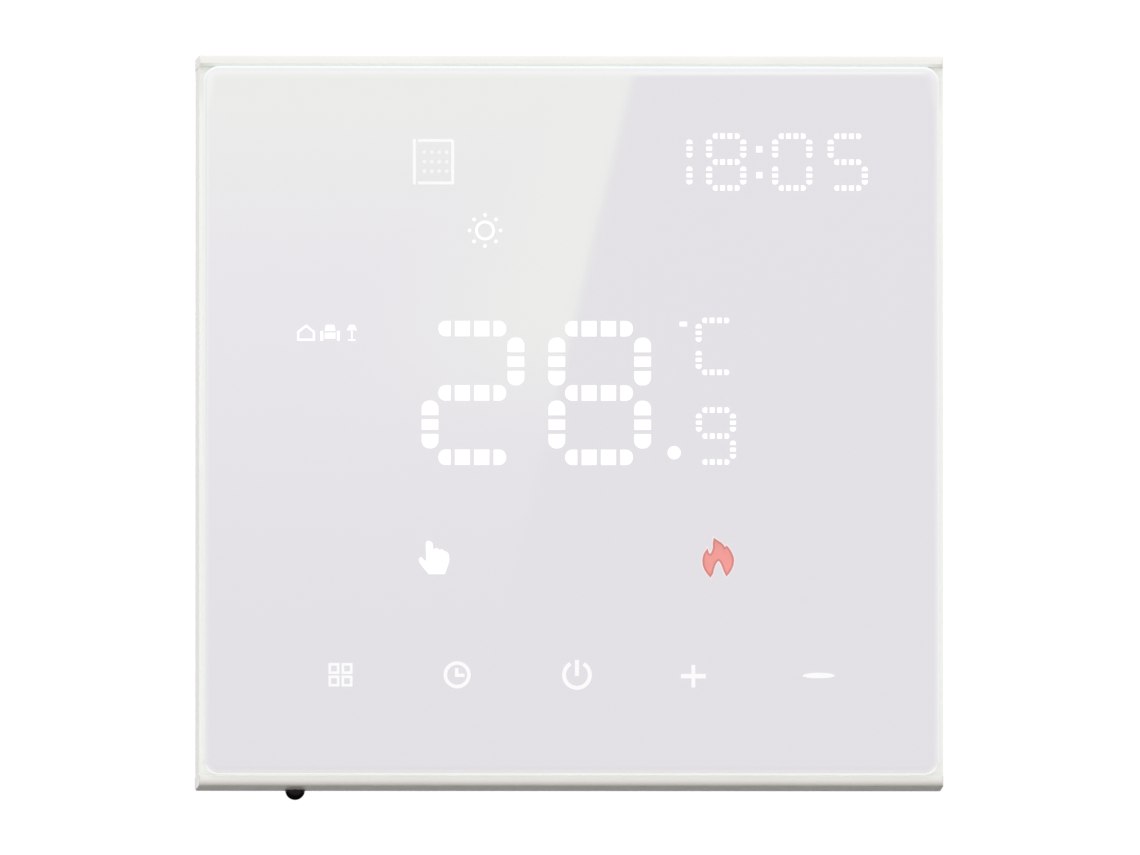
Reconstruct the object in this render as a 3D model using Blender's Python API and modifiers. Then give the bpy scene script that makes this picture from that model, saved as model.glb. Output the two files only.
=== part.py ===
"""A flush wall thermostat: a touch panel of white glass on a pull-off front, and a power base
that sits in a square wall box. Metres, +Z up; the wall plane is y = 0 and the glass faces -Y."""

import math

import bmesh
import bpy
from mathutils import Matrix, Vector

# Overall size, measured at the wall plane, and the clearance between touching pieces
PANEL_WIDTH = 0.0860
PANEL_HEIGHT = 0.0844
FRONT_DEPTH = 0.0140
DRAFT = math.radians(1.5)
GAP = 0.0003


def behind(layer, thickness):
    """(front, back) of a layer that lies on the wall side of another"""
    return layer[1] + GAP, layer[1] + GAP + thickness


def ahead_of(layer, thickness):
    """(front, back) of a layer that lies on the room side of another"""
    return layer[0] - GAP - thickness, layer[0] - GAP


# Layers along Y, each as (front, back)
GLASS = (-FRONT_DEPTH, -FRONT_DEPTH + 0.0024)
TAPE = behind(GLASS, 0.0004)
SEAT = behind(TAPE, 0.0012)
FILM = behind(GLASS, 0.0002)
REFLECTOR = behind(FILM, 0.0028)
DISPLAY_BOARD = behind(REFLECTOR, 0.0012)
PLATE = (-0.0011, 0.0)
FLANGE = ahead_of(PLATE, 0.0012)
INNER_COVER = ahead_of(FLANGE, 0.0011)
POWER_BOARD = (0.0025, 0.0041)

# Front: glass, bezel and what lies between
GLASS_WIDTH = 0.0845
GLASS_HEIGHT = 0.0814
GLASS_CORNER = 0.0019
GLASS_EDGE = 0.0010
RAIL_FRONT = GLASS[0] + 0.0006
BEZEL_BACK = PLATE[1] - GAP
BEZEL_CORNER = 0.0005
STRIP_FRONT = GLASS[0] + 0.0014
GLASS_GAP = 0.0001
CAVITY = (0.0415, 0.0405)
WINDOW = (0.0376, 0.0368)
TAPE_SIZE = (0.0412, 0.0398)
BOARD_SIZE = (0.0390, 0.0380)
COVER_SIZE = (0.0402, 0.0399)
COVER_RIM = 0.0010
REFLECTOR_X = 0.0350
REFLECTOR_Z = (-0.0190, 0.0355)
BOSS = (0.0393, 0.0383)
BOSS_RADIUS = 0.0023
BOSS_END = -0.0044
LEG_INNER = 0.0405
LEG_Z = (0.0140, 0.0220)

# Digits behind the glass: centre x and z, width and height of each
BIG_DIGIT = (0.0118, 0.0167)
SMALL_DIGIT = (0.0048, 0.0066)
BIG_DIGITS_X = (-0.0113, 0.0032)
BIG_DIGIT_Z = 0.0032
TENTHS = (0.0166, -0.0018)
UNIT = (0.0166, 0.0085)
CLOCK_DIGITS_X = (0.0116, 0.0178, 0.0253, 0.0317)
CLOCK_Z = 0.0297
STROKE = 0.15
STROKE_GAP = 0.04

# Wells for the icons: centre x and z of each, and their width
ROOM_WELL = (-0.0277, 0.0100)
DAY_WELL = (-0.0158, 0.0297)
SUN_WELL = (-0.0099, 0.0218)
HAND_WELL = (-0.0158, -0.0157)
FLAME_WELL = (0.0169, -0.0158)
ICON_WELL = 0.0042

# Touch keys: centre x of each spring, and their common height
KEY_X = {"menu": -0.0265, "clock": -0.0131, "power": 0.0006, "plus": 0.0140, "minus": 0.0284}
KEY_Z = -0.0292
SPRING_RADIUS = 0.0030
SPRING_WIRE = 0.00025
SPRING_TURNS = 4
POINTS_PER_TURN = 8

# Parts on the back of the display board: centre x and z, width and height or radius, thickness
CHIPS = {
    "main_controller": (-0.0080, -0.0040, 0.0100, 0.0100, 0.0014),
    "display_driver": (0.0160, -0.0060, 0.0075, 0.0180, 0.0016),
    "touch_controller": (0.0010, -0.0240, 0.0100, 0.0060, 0.0014),
    "clock_crystal": (-0.0190, -0.0120, 0.0030, 0.0080, 0.0012),
}
BACKUP_CELL = (-0.0240, 0.0200, 0.00625, 0.0016)
BUZZER = (0.0260, 0.0200, 0.0048, 0.0018)
SOUND_HOLE = 0.0008

# Air sensor, hanging through the bezel's lower wall
SENSOR_X = -0.0315
SENSOR_Y = -0.0028
SENSOR_RADIUS = 0.00115
SENSOR_Z = (-0.0433, -0.0389)
LEAD_RADIUS = 0.0002
LEAD_SPREAD = 0.0005
LEAD_BEND = 0.0015

# Base: mounting plate and rear housing
PLATE_SIZE = (0.0400, 0.0384)
PLATE_CORNER = 0.0030
FIXING_X = 0.0300
FIXING_SLOT = (0.0042, 0.0100)
HOUSING_X = 0.0255
HOUSING_Z = (-0.0240, 0.0270)
HOUSING_BACK = 0.0270
SHELF_Z = -0.0100
SHELF_BACK = 0.0164
HOUSING_WALL = 0.0015
HOUSING_CORNER = 0.0015
FLANGE_REACH = 0.0050
PLATE_WINDOW_GAP = 0.0005
HOUSING_SCREWS = ((-0.0180, HOUSING_Z[1] + 0.0028), (0.0180, HOUSING_Z[0] - 0.0028))
SCREW_HOLE = 0.0012
VENTS = 7
VENT_PITCH = 0.0050
VENT_WIDTH = 0.0014
VENT_Y = (0.0080, 0.0220)

# Board connector
HEADER_Z = 0.0160
HEADER_PINS = (5, 2)
PIN_PITCH = 0.00254
PIN_WIDTH = 0.00064
PIN_HOLE = 0.0012
HEADER_BASE = (POWER_BOARD[0] - GAP - 0.0026, POWER_BOARD[0] - GAP)
PIN_TIP = -0.0052
SOCKET = (DISPLAY_BOARD[1] + GAP, -0.0008)
SOCKET_WALL = 0.0008

# Terminal block: pole pitch, the clamp's chamber and the screw
POLES = 6
POLE_PITCH = 0.0075
BLOCK_X = 0.0225
BLOCK_Y = (POWER_BOARD[1] + GAP, 0.0164)
BLOCK_Z = (HOUSING_Z[0], -0.0108)
TERMINAL_Z = -0.0170
CHAMBER = (0.00265, 0.0054, 0.0132, 0.0032)
WELL_FLOOR = 0.0137
WELL_RADIUS = 0.00245
NECK_RADIUS = 0.0016
WIRE_HOLE = (0.0019, 0.0063, 0.0093)
CLAMP = (0.00235, 0.0057, 0.0107, 0.0029)
CLAMP_WALL = 0.0008
CLAMP_HOLE = 0.0015
TERMINAL_HEAD = (0.0021, 0.0140, 0.0156)
TERMINAL_SHANK = (0.00125, 0.0091)

# Relay, in its own frame: its foot on the power board, +Y towards the back
RELAY_AT = (-0.0130, POWER_BOARD[1] + GAP, 0.0140)
RELAY_SIZE = (0.0095, 0.0155, 0.0078)
RELAY_BASE_HEIGHT = 0.0020
RELAY_WALL = 0.0009
YOKE_X = -0.0072
YOKE_THICKNESS = 0.0010
YOKE_TOP = 0.0116
COIL_X = -0.0005
COIL_TOP = 0.0108
POLE_FACE = 0.0112
ARMATURE_X = (-0.0074, 0.0062)
ARMATURE_Y = (0.0119, 0.0127)
ARMATURE_HINGE = (YOKE_X + YOKE_THICKNESS / 2, 0.0118)
STRIP_Z = 0.0040
COIL_RADIUS = 0.0041
COIL_FLANGE = (0.0046, 0.0007)
POLE_RADIUS = 0.0015
CONTACT_X = (0.0062, 0.0070)
CONTACT_Z = 0.0012
CONTACT_TOP = 0.0104
CONTACT_TIP = (0.0048, 0.0100, 0.0107)

# Transformer, in its own frame on the power board
TRANSFORMER_AT = (0.0125, POWER_BOARD[1] + GAP, 0.0120)
CORE = (0.0090, 0.0150, 0.0025)
CORE_LEG = 0.0030
CORE_WINDOW = (0.0070, 0.0025, 0.0125)
WINDING_Z = 0.0060

# Parts that stand on the power board: centre x and z, radius and height of each capacitor
CAPACITORS = {
    "filter_capacitor": (0.0170, -0.0040, 0.0040, 0.0130),
    "output_capacitor": (0.0075, -0.0045, 0.0032, 0.0110),
}
VARISTOR_AT = (-0.0030, -0.0050)
VARISTOR = (0.0045, 0.35)
FUSE_AT = (-0.0160, -0.0060)
FUSE = (0.0080, 0.0080, 0.0040)

ROUND = 16
SMOOTH_BELOW = math.radians(40)

MATERIALS = {
    "white_glass": ((0.86, 0.86, 0.87), 0.08, 0.0),
    "bezel_plastic": ((0.88, 0.87, 0.85), 0.35, 0.0),
    "cover_plastic": ((0.80, 0.80, 0.79), 0.50, 0.0),
    "housing_plastic": ((0.78, 0.78, 0.76), 0.50, 0.0),
    "reflector_plastic": ((0.90, 0.90, 0.90), 0.40, 0.0),
    "film": ((0.70, 0.70, 0.72), 0.30, 0.0),
    "foam_tape": ((0.10, 0.10, 0.10), 0.90, 0.0),
    "circuit_board": ((0.05, 0.25, 0.12), 0.45, 0.0),
    "chip_epoxy": ((0.04, 0.04, 0.04), 0.60, 0.0),
    "black_plastic": ((0.05, 0.05, 0.05), 0.45, 0.0),
    "sensor_epoxy": ((0.02, 0.02, 0.02), 0.25, 0.0),
    "spring_steel": ((0.75, 0.75, 0.75), 0.25, 1.0),
    "tinned_wire": ((0.80, 0.80, 0.80), 0.30, 1.0),
    "zinc_steel": ((0.70, 0.71, 0.73), 0.35, 1.0),
    "zinc_screw": ((0.72, 0.73, 0.75), 0.30, 1.0),
    "brass": ((0.80, 0.65, 0.35), 0.30, 1.0),
    "terminal_plastic": ((0.15, 0.35, 0.22), 0.45, 0.0),
    "relay_plastic": ((0.05, 0.10, 0.30), 0.35, 0.0),
    "ferrite": ((0.12, 0.12, 0.12), 0.70, 0.0),
    "winding_tape": ((0.85, 0.70, 0.15), 0.40, 0.0),
    "copper": ((0.85, 0.45, 0.25), 0.35, 1.0),
    "can_aluminium": ((0.75, 0.75, 0.77), 0.30, 1.0),
    "sleeve": ((0.05, 0.06, 0.12), 0.35, 0.0),
    "varistor_lacquer": ((0.10, 0.25, 0.60), 0.40, 0.0),
    "fuse_plastic": ((0.35, 0.20, 0.10), 0.45, 0.0),
    "cell_steel": ((0.78, 0.78, 0.78), 0.20, 1.0),
}


# ---- shapes --------------------------------------------------------------------------------


def add_box(bm, low, high):
    made = bmesh.ops.create_cube(bm, size=1.0)["verts"]
    low, high = Vector(low), Vector(high)
    bmesh.ops.scale(bm, vec=high - low, verts=made)
    bmesh.ops.translate(bm, vec=(high + low) / 2, verts=made)


def add_rod(bm, x, z, ends, radius, tip_radius=None, segments=ROUND):
    """A cylinder or cone along Y; ends is (front, back), and tip_radius is the one at the back."""
    turn = Matrix.Rotation(-math.pi / 2, 4, "X") @ Matrix.Rotation(math.pi / segments, 4, "Z")
    bmesh.ops.create_cone(
        bm,
        cap_ends=True,
        segments=segments,
        radius1=radius,
        radius2=radius if tip_radius is None else tip_radius,
        depth=ends[1] - ends[0],
        matrix=Matrix.Translation((x, sum(ends) / 2, z)) @ turn,
    )


def add_post(bm, x, y, ends, radius):
    """A cylinder along Z; ends is (bottom, top)."""
    bmesh.ops.create_cone(
        bm,
        cap_ends=True,
        segments=ROUND,
        radius1=radius,
        radius2=radius,
        depth=ends[1] - ends[0],
        matrix=Matrix.Translation((x, y, sum(ends) / 2)),
    )


def add_slot(bm, x, z, ends, width, length):
    """A round-ended slot along Y that is longer in Z."""
    first = len(bm.verts)
    add_rod(bm, x, z, ends, width / 2)
    bm.verts.ensure_lookup_table()
    for vert in bm.verts[first:]:
        vert.co.z += math.copysign((length - width) / 2, vert.co.z - z)


def shape(*calls):
    """A new bmesh holding each (function, arguments...) given."""
    bm = bmesh.new()
    for make, *arguments in calls:
        make(bm, *arguments)
    return bm


def round_edges(bm, edges, radius, segments):
    bmesh.ops.bevel(
        bm, geom=list(edges), offset=radius, segments=segments, profile=0.5, affect="EDGES"
    )


def rounded_block(low, high, corner, segments=4, front_rim=0.0, back_rim=0.0, draft=0.0):
    """A block whose four edges along Y are rounded, and then its front and back rims."""
    bm = shape((add_box, low, high))
    middle = (Vector(low) + Vector(high)) / 2
    taper = math.tan(draft) * (high[1] - low[1])
    for vert in bm.verts:
        if vert.co.y < middle.y:
            vert.co.x -= math.copysign(taper, vert.co.x - middle.x)
            vert.co.z -= math.copysign(taper, vert.co.z - middle.z)
    along = [e for e in bm.edges if abs((e.verts[0].co - e.verts[1].co).normalized().y) > 0.9]
    round_edges(bm, along, corner, segments)
    for rim, pick in ((front_rim, min), (back_rim, max)):
        if rim:
            round_edges(bm, pick(bm.faces, key=lambda f: f.calc_center_median().y).edges, rim, 2)
    return bm


# ---- objects -------------------------------------------------------------------------------


def material(name):
    made = bpy.data.materials.get(name)
    if made is None:
        colour, roughness, metallic = MATERIALS[name]
        made = bpy.data.materials.new(name)
        made.use_nodes = True
        shader = made.node_tree.nodes["Principled BSDF"]
        shader.inputs["Base Color"].default_value = (*colour, 1.0)
        shader.inputs["Roughness"].default_value = roughness
        shader.inputs["Metallic"].default_value = metallic
        made.diffuse_color = (*colour, 1.0)
    return made


def finish_mesh(mesh, bm):
    bmesh.ops.recalc_face_normals(bm, faces=bm.faces)
    bm.to_mesh(mesh)
    bm.free()
    mesh.shade_smooth()
    mesh.set_sharp_from_angle(angle=SMOOTH_BELOW)


def place(name, data, finish, parent, at=(0.0, 0.0, 0.0)):
    made = bpy.data.objects.new(name, data)
    data.materials.clear()
    data.materials.append(material(finish))
    PARTS.objects.link(made)
    made.parent = parent
    made.location = at
    return made


def piece(name, bm, finish, parent, at=(0.0, 0.0, 0.0)):
    """A named piece. Its shape is given in its parent's frame, and at is its own origin there."""
    bmesh.ops.translate(bm, vec=-Vector(at), verts=bm.verts)
    mesh = bpy.data.meshes.new(name)
    finish_mesh(mesh, bm)
    return place(name, mesh, finish, parent, at)


def tool(target, label, bm, operation="DIFFERENCE"):
    """Cuts a shape, given in the target's parent's frame, out of the target, or joins it on."""
    mesh = bpy.data.meshes.new(f"{target.name}_{label}")
    finish_mesh(mesh, bm)
    made = bpy.data.objects.new(mesh.name, mesh)
    TOOLS.objects.link(made)
    made.parent = target.parent
    made.hide_render = True
    made.display_type = "WIRE"
    step = target.modifiers.new(label, "BOOLEAN")
    step.operation = operation
    step.object = made


def join(target, label, bm):
    tool(target, label, bm, "UNION")


def turned(name, profile, finish, parent, at, steps=ROUND):
    """A piece turned about Y from (radius, y) points, given from its back end to its front."""
    bm = bmesh.new()
    verts = [bm.verts.new((radius, y - at[1], 0.0)) for radius, y in profile]
    for first, second in zip(verts, verts[1:]):
        bm.edges.new((first, second))
    mesh = bpy.data.meshes.new(name)
    bm.to_mesh(mesh)
    bm.free()
    made = place(name, mesh, finish, parent, at)
    spin = made.modifiers.new("turn", "SCREW")
    spin.axis = "Y"
    spin.steps = steps
    spin.render_steps = steps
    spin.use_merge_vertices = True
    spin.merge_threshold = 0.00001
    spin.use_smooth_shade = True
    return made


def freeze(made):
    """The object's mesh with its modifiers applied, and the object and its tools removed."""
    bpy.context.view_layer.update()
    evaluated = made.evaluated_get(bpy.context.evaluated_depsgraph_get())
    mesh = bpy.data.meshes.new_from_object(evaluated)
    for step in made.modifiers:
        if step.type == "BOOLEAN":
            bpy.data.objects.remove(step.object)
    bpy.data.objects.remove(made)
    return mesh


def wire(name, points, radius, finish, parent, at=(0.0, 0.0, 0.0)):
    curve = bpy.data.curves.new(name, "CURVE")
    curve.dimensions = "3D"
    curve.bevel_depth = radius
    curve.bevel_resolution = 1
    curve.use_fill_caps = True
    curve.render_resolution_u = 0
    spline = curve.splines.new("POLY")
    spline.points.add(len(points) - 1)
    for point, co in zip(spline.points, points):
        point.co = (*(Vector(co) - Vector(at)), 1.0)
    return place(name, curve, finish, parent, at)


def empty(name, parent=None, at=(0.0, 0.0, 0.0)):
    made = bpy.data.objects.new(name, None)
    PARTS.objects.link(made)
    made.parent = parent
    made.location = at
    return made


# ---- front ---------------------------------------------------------------------------------


def mirrored(x, z):
    return [(sx * x, sz * z) for sx in (-1, 1) for sz in (-1, 1)]


def front_glass(front):
    low = (-GLASS_WIDTH / 2, GLASS[0], -GLASS_HEIGHT / 2)
    high = (GLASS_WIDTH / 2, GLASS[1], GLASS_HEIGHT / 2)
    bm = rounded_block(low, high, GLASS_CORNER, 5, front_rim=GLASS_EDGE, back_rim=0.0002)
    piece("front_glass", bm, "white_glass", front, (0.0, GLASS[1], 0.0))


def glass_adhesive(front):
    x, z = TAPE_SIZE
    low, high = (-x, TAPE[0], -z), (x, TAPE[1], z)
    tape = piece("glass_adhesive", rounded_block(low, high, 0.001), "foam_tape", front)
    x, z = WINDOW
    tool(tape, "window", shape((add_box, (-x, -0.1, -z), (x, 0.1, z))))


def front_bezel(front):
    x, z = PANEL_WIDTH / 2, PANEL_HEIGHT / 2
    block = rounded_block(
        (-x, RAIL_FRONT, -z), (x, BEZEL_BACK, z), BEZEL_CORNER, front_rim=0.0002, draft=DRAFT
    )
    bezel = piece("front_bezel", block, "bezel_plastic", front)
    x, z = GLASS_WIDTH / 2 + GLASS_GAP, GLASS_HEIGHT / 2 + GLASS_GAP
    tool(bezel, "strip_tops", shape((add_box, (-0.1, -0.1, -z), (0.1, STRIP_FRONT, z))))
    corner = GLASS_CORNER + GLASS_GAP
    tool(bezel, "glass_pocket", rounded_block((-x, -0.1, -z), (x, SEAT[0], z), corner, 5))
    x, z = CAVITY
    tool(bezel, "cavity", rounded_block((-x, SEAT[1], -z), (x, 0.05, z), 0.0008))
    x, z = WINDOW
    tool(bezel, "window", shape((add_box, (-x, -0.05, -z), (x, 0.05, z))))
    bosses = [(add_rod, x, z, (SEAT[1] - 0.0004, BOSS_END), BOSS_RADIUS) for x, z in mirrored(*BOSS)]
    join(bezel, "bosses", shape(*bosses))
    wall = CAVITY[0] + 0.0004
    legs = [
        (
            add_box,
            (min(side * LEG_INNER, side * wall), SEAT[1] - 0.0004, min(end * LEG_Z[0], end * LEG_Z[1])),
            (max(side * LEG_INNER, side * wall), -0.0015, max(end * LEG_Z[0], end * LEG_Z[1])),
        )
        for side, end in mirrored(1, 1)
    ]
    join(bezel, "legs", shape(*legs))
    pilots = [(add_rod, x, z, (SEAT[1] + 0.0006, 0.01), 0.0010, None, 10) for x, z in mirrored(*BOSS)]
    tool(bezel, "pilot_holes", shape(*pilots))
    ends = (-PANEL_HEIGHT / 2 - 0.004, -PANEL_HEIGHT / 2 + 0.004)
    hole = (add_post, SENSOR_X, SENSOR_Y, ends, SENSOR_RADIUS + GAP)
    tool(bezel, "sensor_hole", shape(hole))


def icon_film(front):
    x = REFLECTOR_X + 0.001
    low = (-x, FILM[0], REFLECTOR_Z[0] - 0.001)
    high = (x, FILM[1], REFLECTOR_Z[1] + 0.001)
    piece("icon_film", rounded_block(low, high, 0.001), "film", front, (0.0, FILM[0], 0.0))


def segment_wells(centre, size):
    """The seven wells of a digit: three across and four upright."""
    (x, z), (width, height) = centre, size
    stroke, inset = width * STROKE, width * STROKE_GAP
    ends = (REFLECTOR[0] - 0.001, REFLECTOR[1] + 0.001)
    wells = []
    for row in (-1, 0, 1):
        level = z + row * (height - stroke) / 2
        reach = width / 2 - stroke - inset
        wells.append((x - reach, x + reach, level - stroke / 2, level + stroke / 2))
    for side in (-1, 1):
        upright = x + side * (width - stroke) / 2
        for half in (-1, 1):
            near, far = z + half * (stroke / 2 + inset), z + half * (height / 2 - inset)
            wells.append((upright - stroke / 2, upright + stroke / 2, min(near, far), max(near, far)))
    return [(add_box, (x0, ends[0], z0), (x1, ends[1], z1)) for x0, x1, z0, z1 in wells]


def display_reflector(front):
    low = (-REFLECTOR_X, REFLECTOR[0], REFLECTOR_Z[0])
    high = (REFLECTOR_X, REFLECTOR[1], REFLECTOR_Z[1])
    block = piece("display_reflector", shape((add_box, low, high)), "reflector_plastic", front)
    digits = [((x, BIG_DIGIT_Z), BIG_DIGIT) for x in BIG_DIGITS_X]
    digits += [(TENTHS, SMALL_DIGIT), (UNIT, SMALL_DIGIT)]
    digits += [((x, CLOCK_Z), SMALL_DIGIT) for x in CLOCK_DIGITS_X]
    wells = [well for centre, size in digits for well in segment_wells(centre, size)]
    half = ICON_WELL / 2
    for x, z in (ROOM_WELL, DAY_WELL, SUN_WELL, HAND_WELL, FLAME_WELL):
        wells.append((add_box, (x - half, -0.05, z - half), (x + half, 0.0, z + half)))
    tool(block, "wells", shape(*wells))


def display_board(front):
    x, z = BOARD_SIZE
    low, high = (-x, DISPLAY_BOARD[0], -z), (x, DISPLAY_BOARD[1], z)
    board = piece("display_board", shape((add_box, low, high)), "circuit_board", front)
    reach = BOSS_RADIUS + GAP
    corners = [(add_rod, x, z, (-0.02, 0.0), reach) for x, z in mirrored(*BOSS)]
    tool(board, "boss_notches", shape(*corners))


def touch_springs(front):
    start, end = DISPLAY_BOARD[0] - GAP - SPRING_WIRE, GLASS[1] + GAP + SPRING_WIRE
    count = SPRING_TURNS * POINTS_PER_TURN
    points = []
    for i in range(count + 1):
        angle = 2 * math.pi * i / POINTS_PER_TURN
        along = start + (end - start) * i / count
        points.append((SPRING_RADIUS * math.cos(angle), along, SPRING_RADIUS * math.sin(angle)))
    first = None
    for key, x in KEY_X.items():
        name = f"touch_spring_{key}"
        if first is None:
            first = wire(name, points, SPRING_WIRE, "spring_steel", front)
            first.location = (x, 0.0, KEY_Z)
        else:
            place(name, first.data, "spring_steel", front, (x, 0.0, KEY_Z))


def display_electronics(front):
    mount = DISPLAY_BOARD[1] + GAP
    for name, (x, z, width, height, thickness) in CHIPS.items():
        low = (x - width / 2, mount, z - height / 2)
        high = (x + width / 2, mount + thickness, z + height / 2)
        finish = "can_aluminium" if name == "clock_crystal" else "chip_epoxy"
        piece(name, rounded_block(low, high, 0.0002, 1, back_rim=0.0002), finish, front, (x, mount, z))
    x, z, radius, thickness = BACKUP_CELL
    cell = shape((add_rod, x, z, (mount, mount + thickness), radius, None, 24))
    piece("backup_cell", cell, "cell_steel", front, (x, mount, z))
    x, z, radius, thickness = BUZZER
    can = shape((add_rod, x, z, (mount, mount + thickness), radius, None, 20))
    buzzer = piece("buzzer", can, "black_plastic", front, (x, mount, z))
    hole = (add_rod, x, z, (mount + thickness / 2, 0.0), SOUND_HOLE, None, 10)
    tool(buzzer, "sound_hole", shape(hole))


def pin_places():
    across, down = HEADER_PINS
    for column in range(across):
        for row in range(down):
            x = (column - (across - 1) / 2) * PIN_PITCH
            yield x, HEADER_Z + (row - (down - 1) / 2) * PIN_PITCH


def pin_boxes(width, ends):
    half = width / 2
    return [(add_box, (x - half, ends[0], z - half), (x + half, ends[1], z + half)) for x, z in pin_places()]


def connector_half():
    """Half the width and height of the connector's plastic."""
    across, down = HEADER_PINS
    return across * PIN_PITCH / 2, down * PIN_PITCH / 2


def board_socket(front):
    x, z = connector_half()
    low = (-x - SOCKET_WALL / 2, SOCKET[0], HEADER_Z - z - SOCKET_WALL / 2)
    high = (x + SOCKET_WALL / 2, SOCKET[1], HEADER_Z + z + SOCKET_WALL / 2)
    at = (0.0, SOCKET[0], HEADER_Z)
    socket = piece("board_socket", shape((add_box, low, high)), "black_plastic", front, at)
    tool(socket, "pin_holes", shape(*pin_boxes(PIN_HOLE, (PIN_TIP - GAP, 0.005))))


def air_sensor(front):
    bottom, top = SENSOR_Z
    bm = bmesh.new()
    bmesh.ops.create_uvsphere(bm, u_segments=12, v_segments=10, radius=SENSOR_RADIUS)
    stretch = (top - bottom) / 2 - SENSOR_RADIUS
    for vert in bm.verts:
        if abs(vert.co.z) > SENSOR_RADIUS * 0.01:
            vert.co.z += math.copysign(stretch, vert.co.z)
    at = (SENSOR_X, SENSOR_Y, (bottom + top) / 2)
    bmesh.ops.translate(bm, vec=at, verts=bm.verts)
    piece("air_sensor", bm, "sensor_epoxy", front, at)
    start = top + GAP
    for number, side in enumerate((-1, 1), 1):
        x = SENSOR_X + side * LEAD_SPREAD
        turn = [math.radians(90 * i / 4) for i in range(5)]
        points = [(x, SENSOR_Y, start)]
        points += [
            (x, SENSOR_Y - LEAD_BEND * (1 - math.cos(a)), start + 0.0004 + LEAD_BEND * math.sin(a))
            for a in turn
        ]
        points.append((x, DISPLAY_BOARD[1] + GAP, start + 0.0004 + LEAD_BEND))
        wire(f"sensor_lead_{number}", points, LEAD_RADIUS, "tinned_wire", front, points[0])


def inner_cover(front):
    x, z = COVER_SIZE
    rim_front = DISPLAY_BOARD[1] + GAP
    block = rounded_block((-x, rim_front, -z), (x, INNER_COVER[1], z), 0.0006, 2)
    cover = piece("inner_cover", block, "cover_plastic", front)
    x, z = x - COVER_RIM, z - COVER_RIM
    tool(cover, "tray", shape((add_box, (-x, -0.02, -z), (x, INNER_COVER[0], z))))
    notch = BOSS_RADIUS + GAP
    corners = [(add_rod, x, z, (-0.02, INNER_COVER[0] - 0.0001), notch) for x, z in mirrored(*BOSS)]
    tool(cover, "boss_notches", shape(*corners))
    holes = [(add_rod, x, z, (-0.01, 0.0), 0.0012, None, 10) for x, z in mirrored(*BOSS)]
    holes += [(add_slot, side * FIXING_X, 0.0, (-0.01, 0.0), 0.0092, 0.0150) for side in (-1, 1)]
    x, z = connector_half()
    clear = SOCKET_WALL / 2 + GAP
    low = (-x - clear, -0.01, HEADER_Z - z - clear)
    high = (x + clear, 0.0, HEADER_Z + z + clear)
    holes.append((add_box, low, high))
    holes.append((add_box, (SENSOR_X - 0.003, -0.01, -0.05), (SENSOR_X + 0.003, 0.0, -0.0355)))
    tool(cover, "openings", shape(*holes))


def screw_mesh(head_radius, head_height, shank_radius, length, slot, dome=0.0):
    """A screw along +Y from the face under its head, which is at its origin."""
    profile = [(0.0, length), (shank_radius * 0.6, length), (shank_radius, length - shank_radius * 0.5)]
    profile += [(shank_radius, 0.0), (head_radius, 0.0), (head_radius, dome - head_height)]
    profile += [(head_radius * 0.75, -head_height), (0.0, -head_height)]
    made = turned("screw", profile, "zinc_screw", None, (0.0, 0.0, 0.0), 12)
    half, reach, depth = slot / 2, head_radius * 0.7, head_height * 0.55
    low, high = -head_height - 0.001, -head_height + depth
    cross = [(-reach, -half), (-half, -reach)]
    for label, (x, z) in zip(("slot", "cross_slot"), cross):
        tool(made, label, shape((add_box, (x, low, z), (-x, high, -z))))
    return freeze(made)


def cover_screws(front):
    mesh = screw_mesh(0.0017, 0.0010, 0.0008, 0.0040, 0.0005, 0.0003)
    for number, (x, z) in enumerate(mirrored(*BOSS), 1):
        at = (x, INNER_COVER[1] + GAP, z)
        made = place(f"inner_cover_screw_{number}", mesh, "zinc_screw", front, at)
        made.rotation_euler = (0.0, 0.0, math.pi)


# ---- base ----------------------------------------------------------------------------------


def mounting_plate(base):
    x, z = PLATE_SIZE
    block = rounded_block((-x, PLATE[0], -z), (x, PLATE[1], z), PLATE_CORNER)
    plate = piece("mounting_plate", block, "zinc_steel", base)
    x = HOUSING_X + PLATE_WINDOW_GAP
    low = (-x, -0.01, HOUSING_Z[0] - PLATE_WINDOW_GAP)
    high = (x, 0.01, HOUSING_Z[1] + PLATE_WINDOW_GAP)
    holes = [(add_box, low, high)]
    holes += [(add_slot, side * FIXING_X, 0.0, (-0.01, 0.01), *FIXING_SLOT) for side in (-1, 1)]
    holes += [(add_rod, x, z, (-0.01, 0.01), SCREW_HOLE, None, 12) for x, z in HOUSING_SCREWS]
    tool(plate, "openings", shape(*holes))


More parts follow.
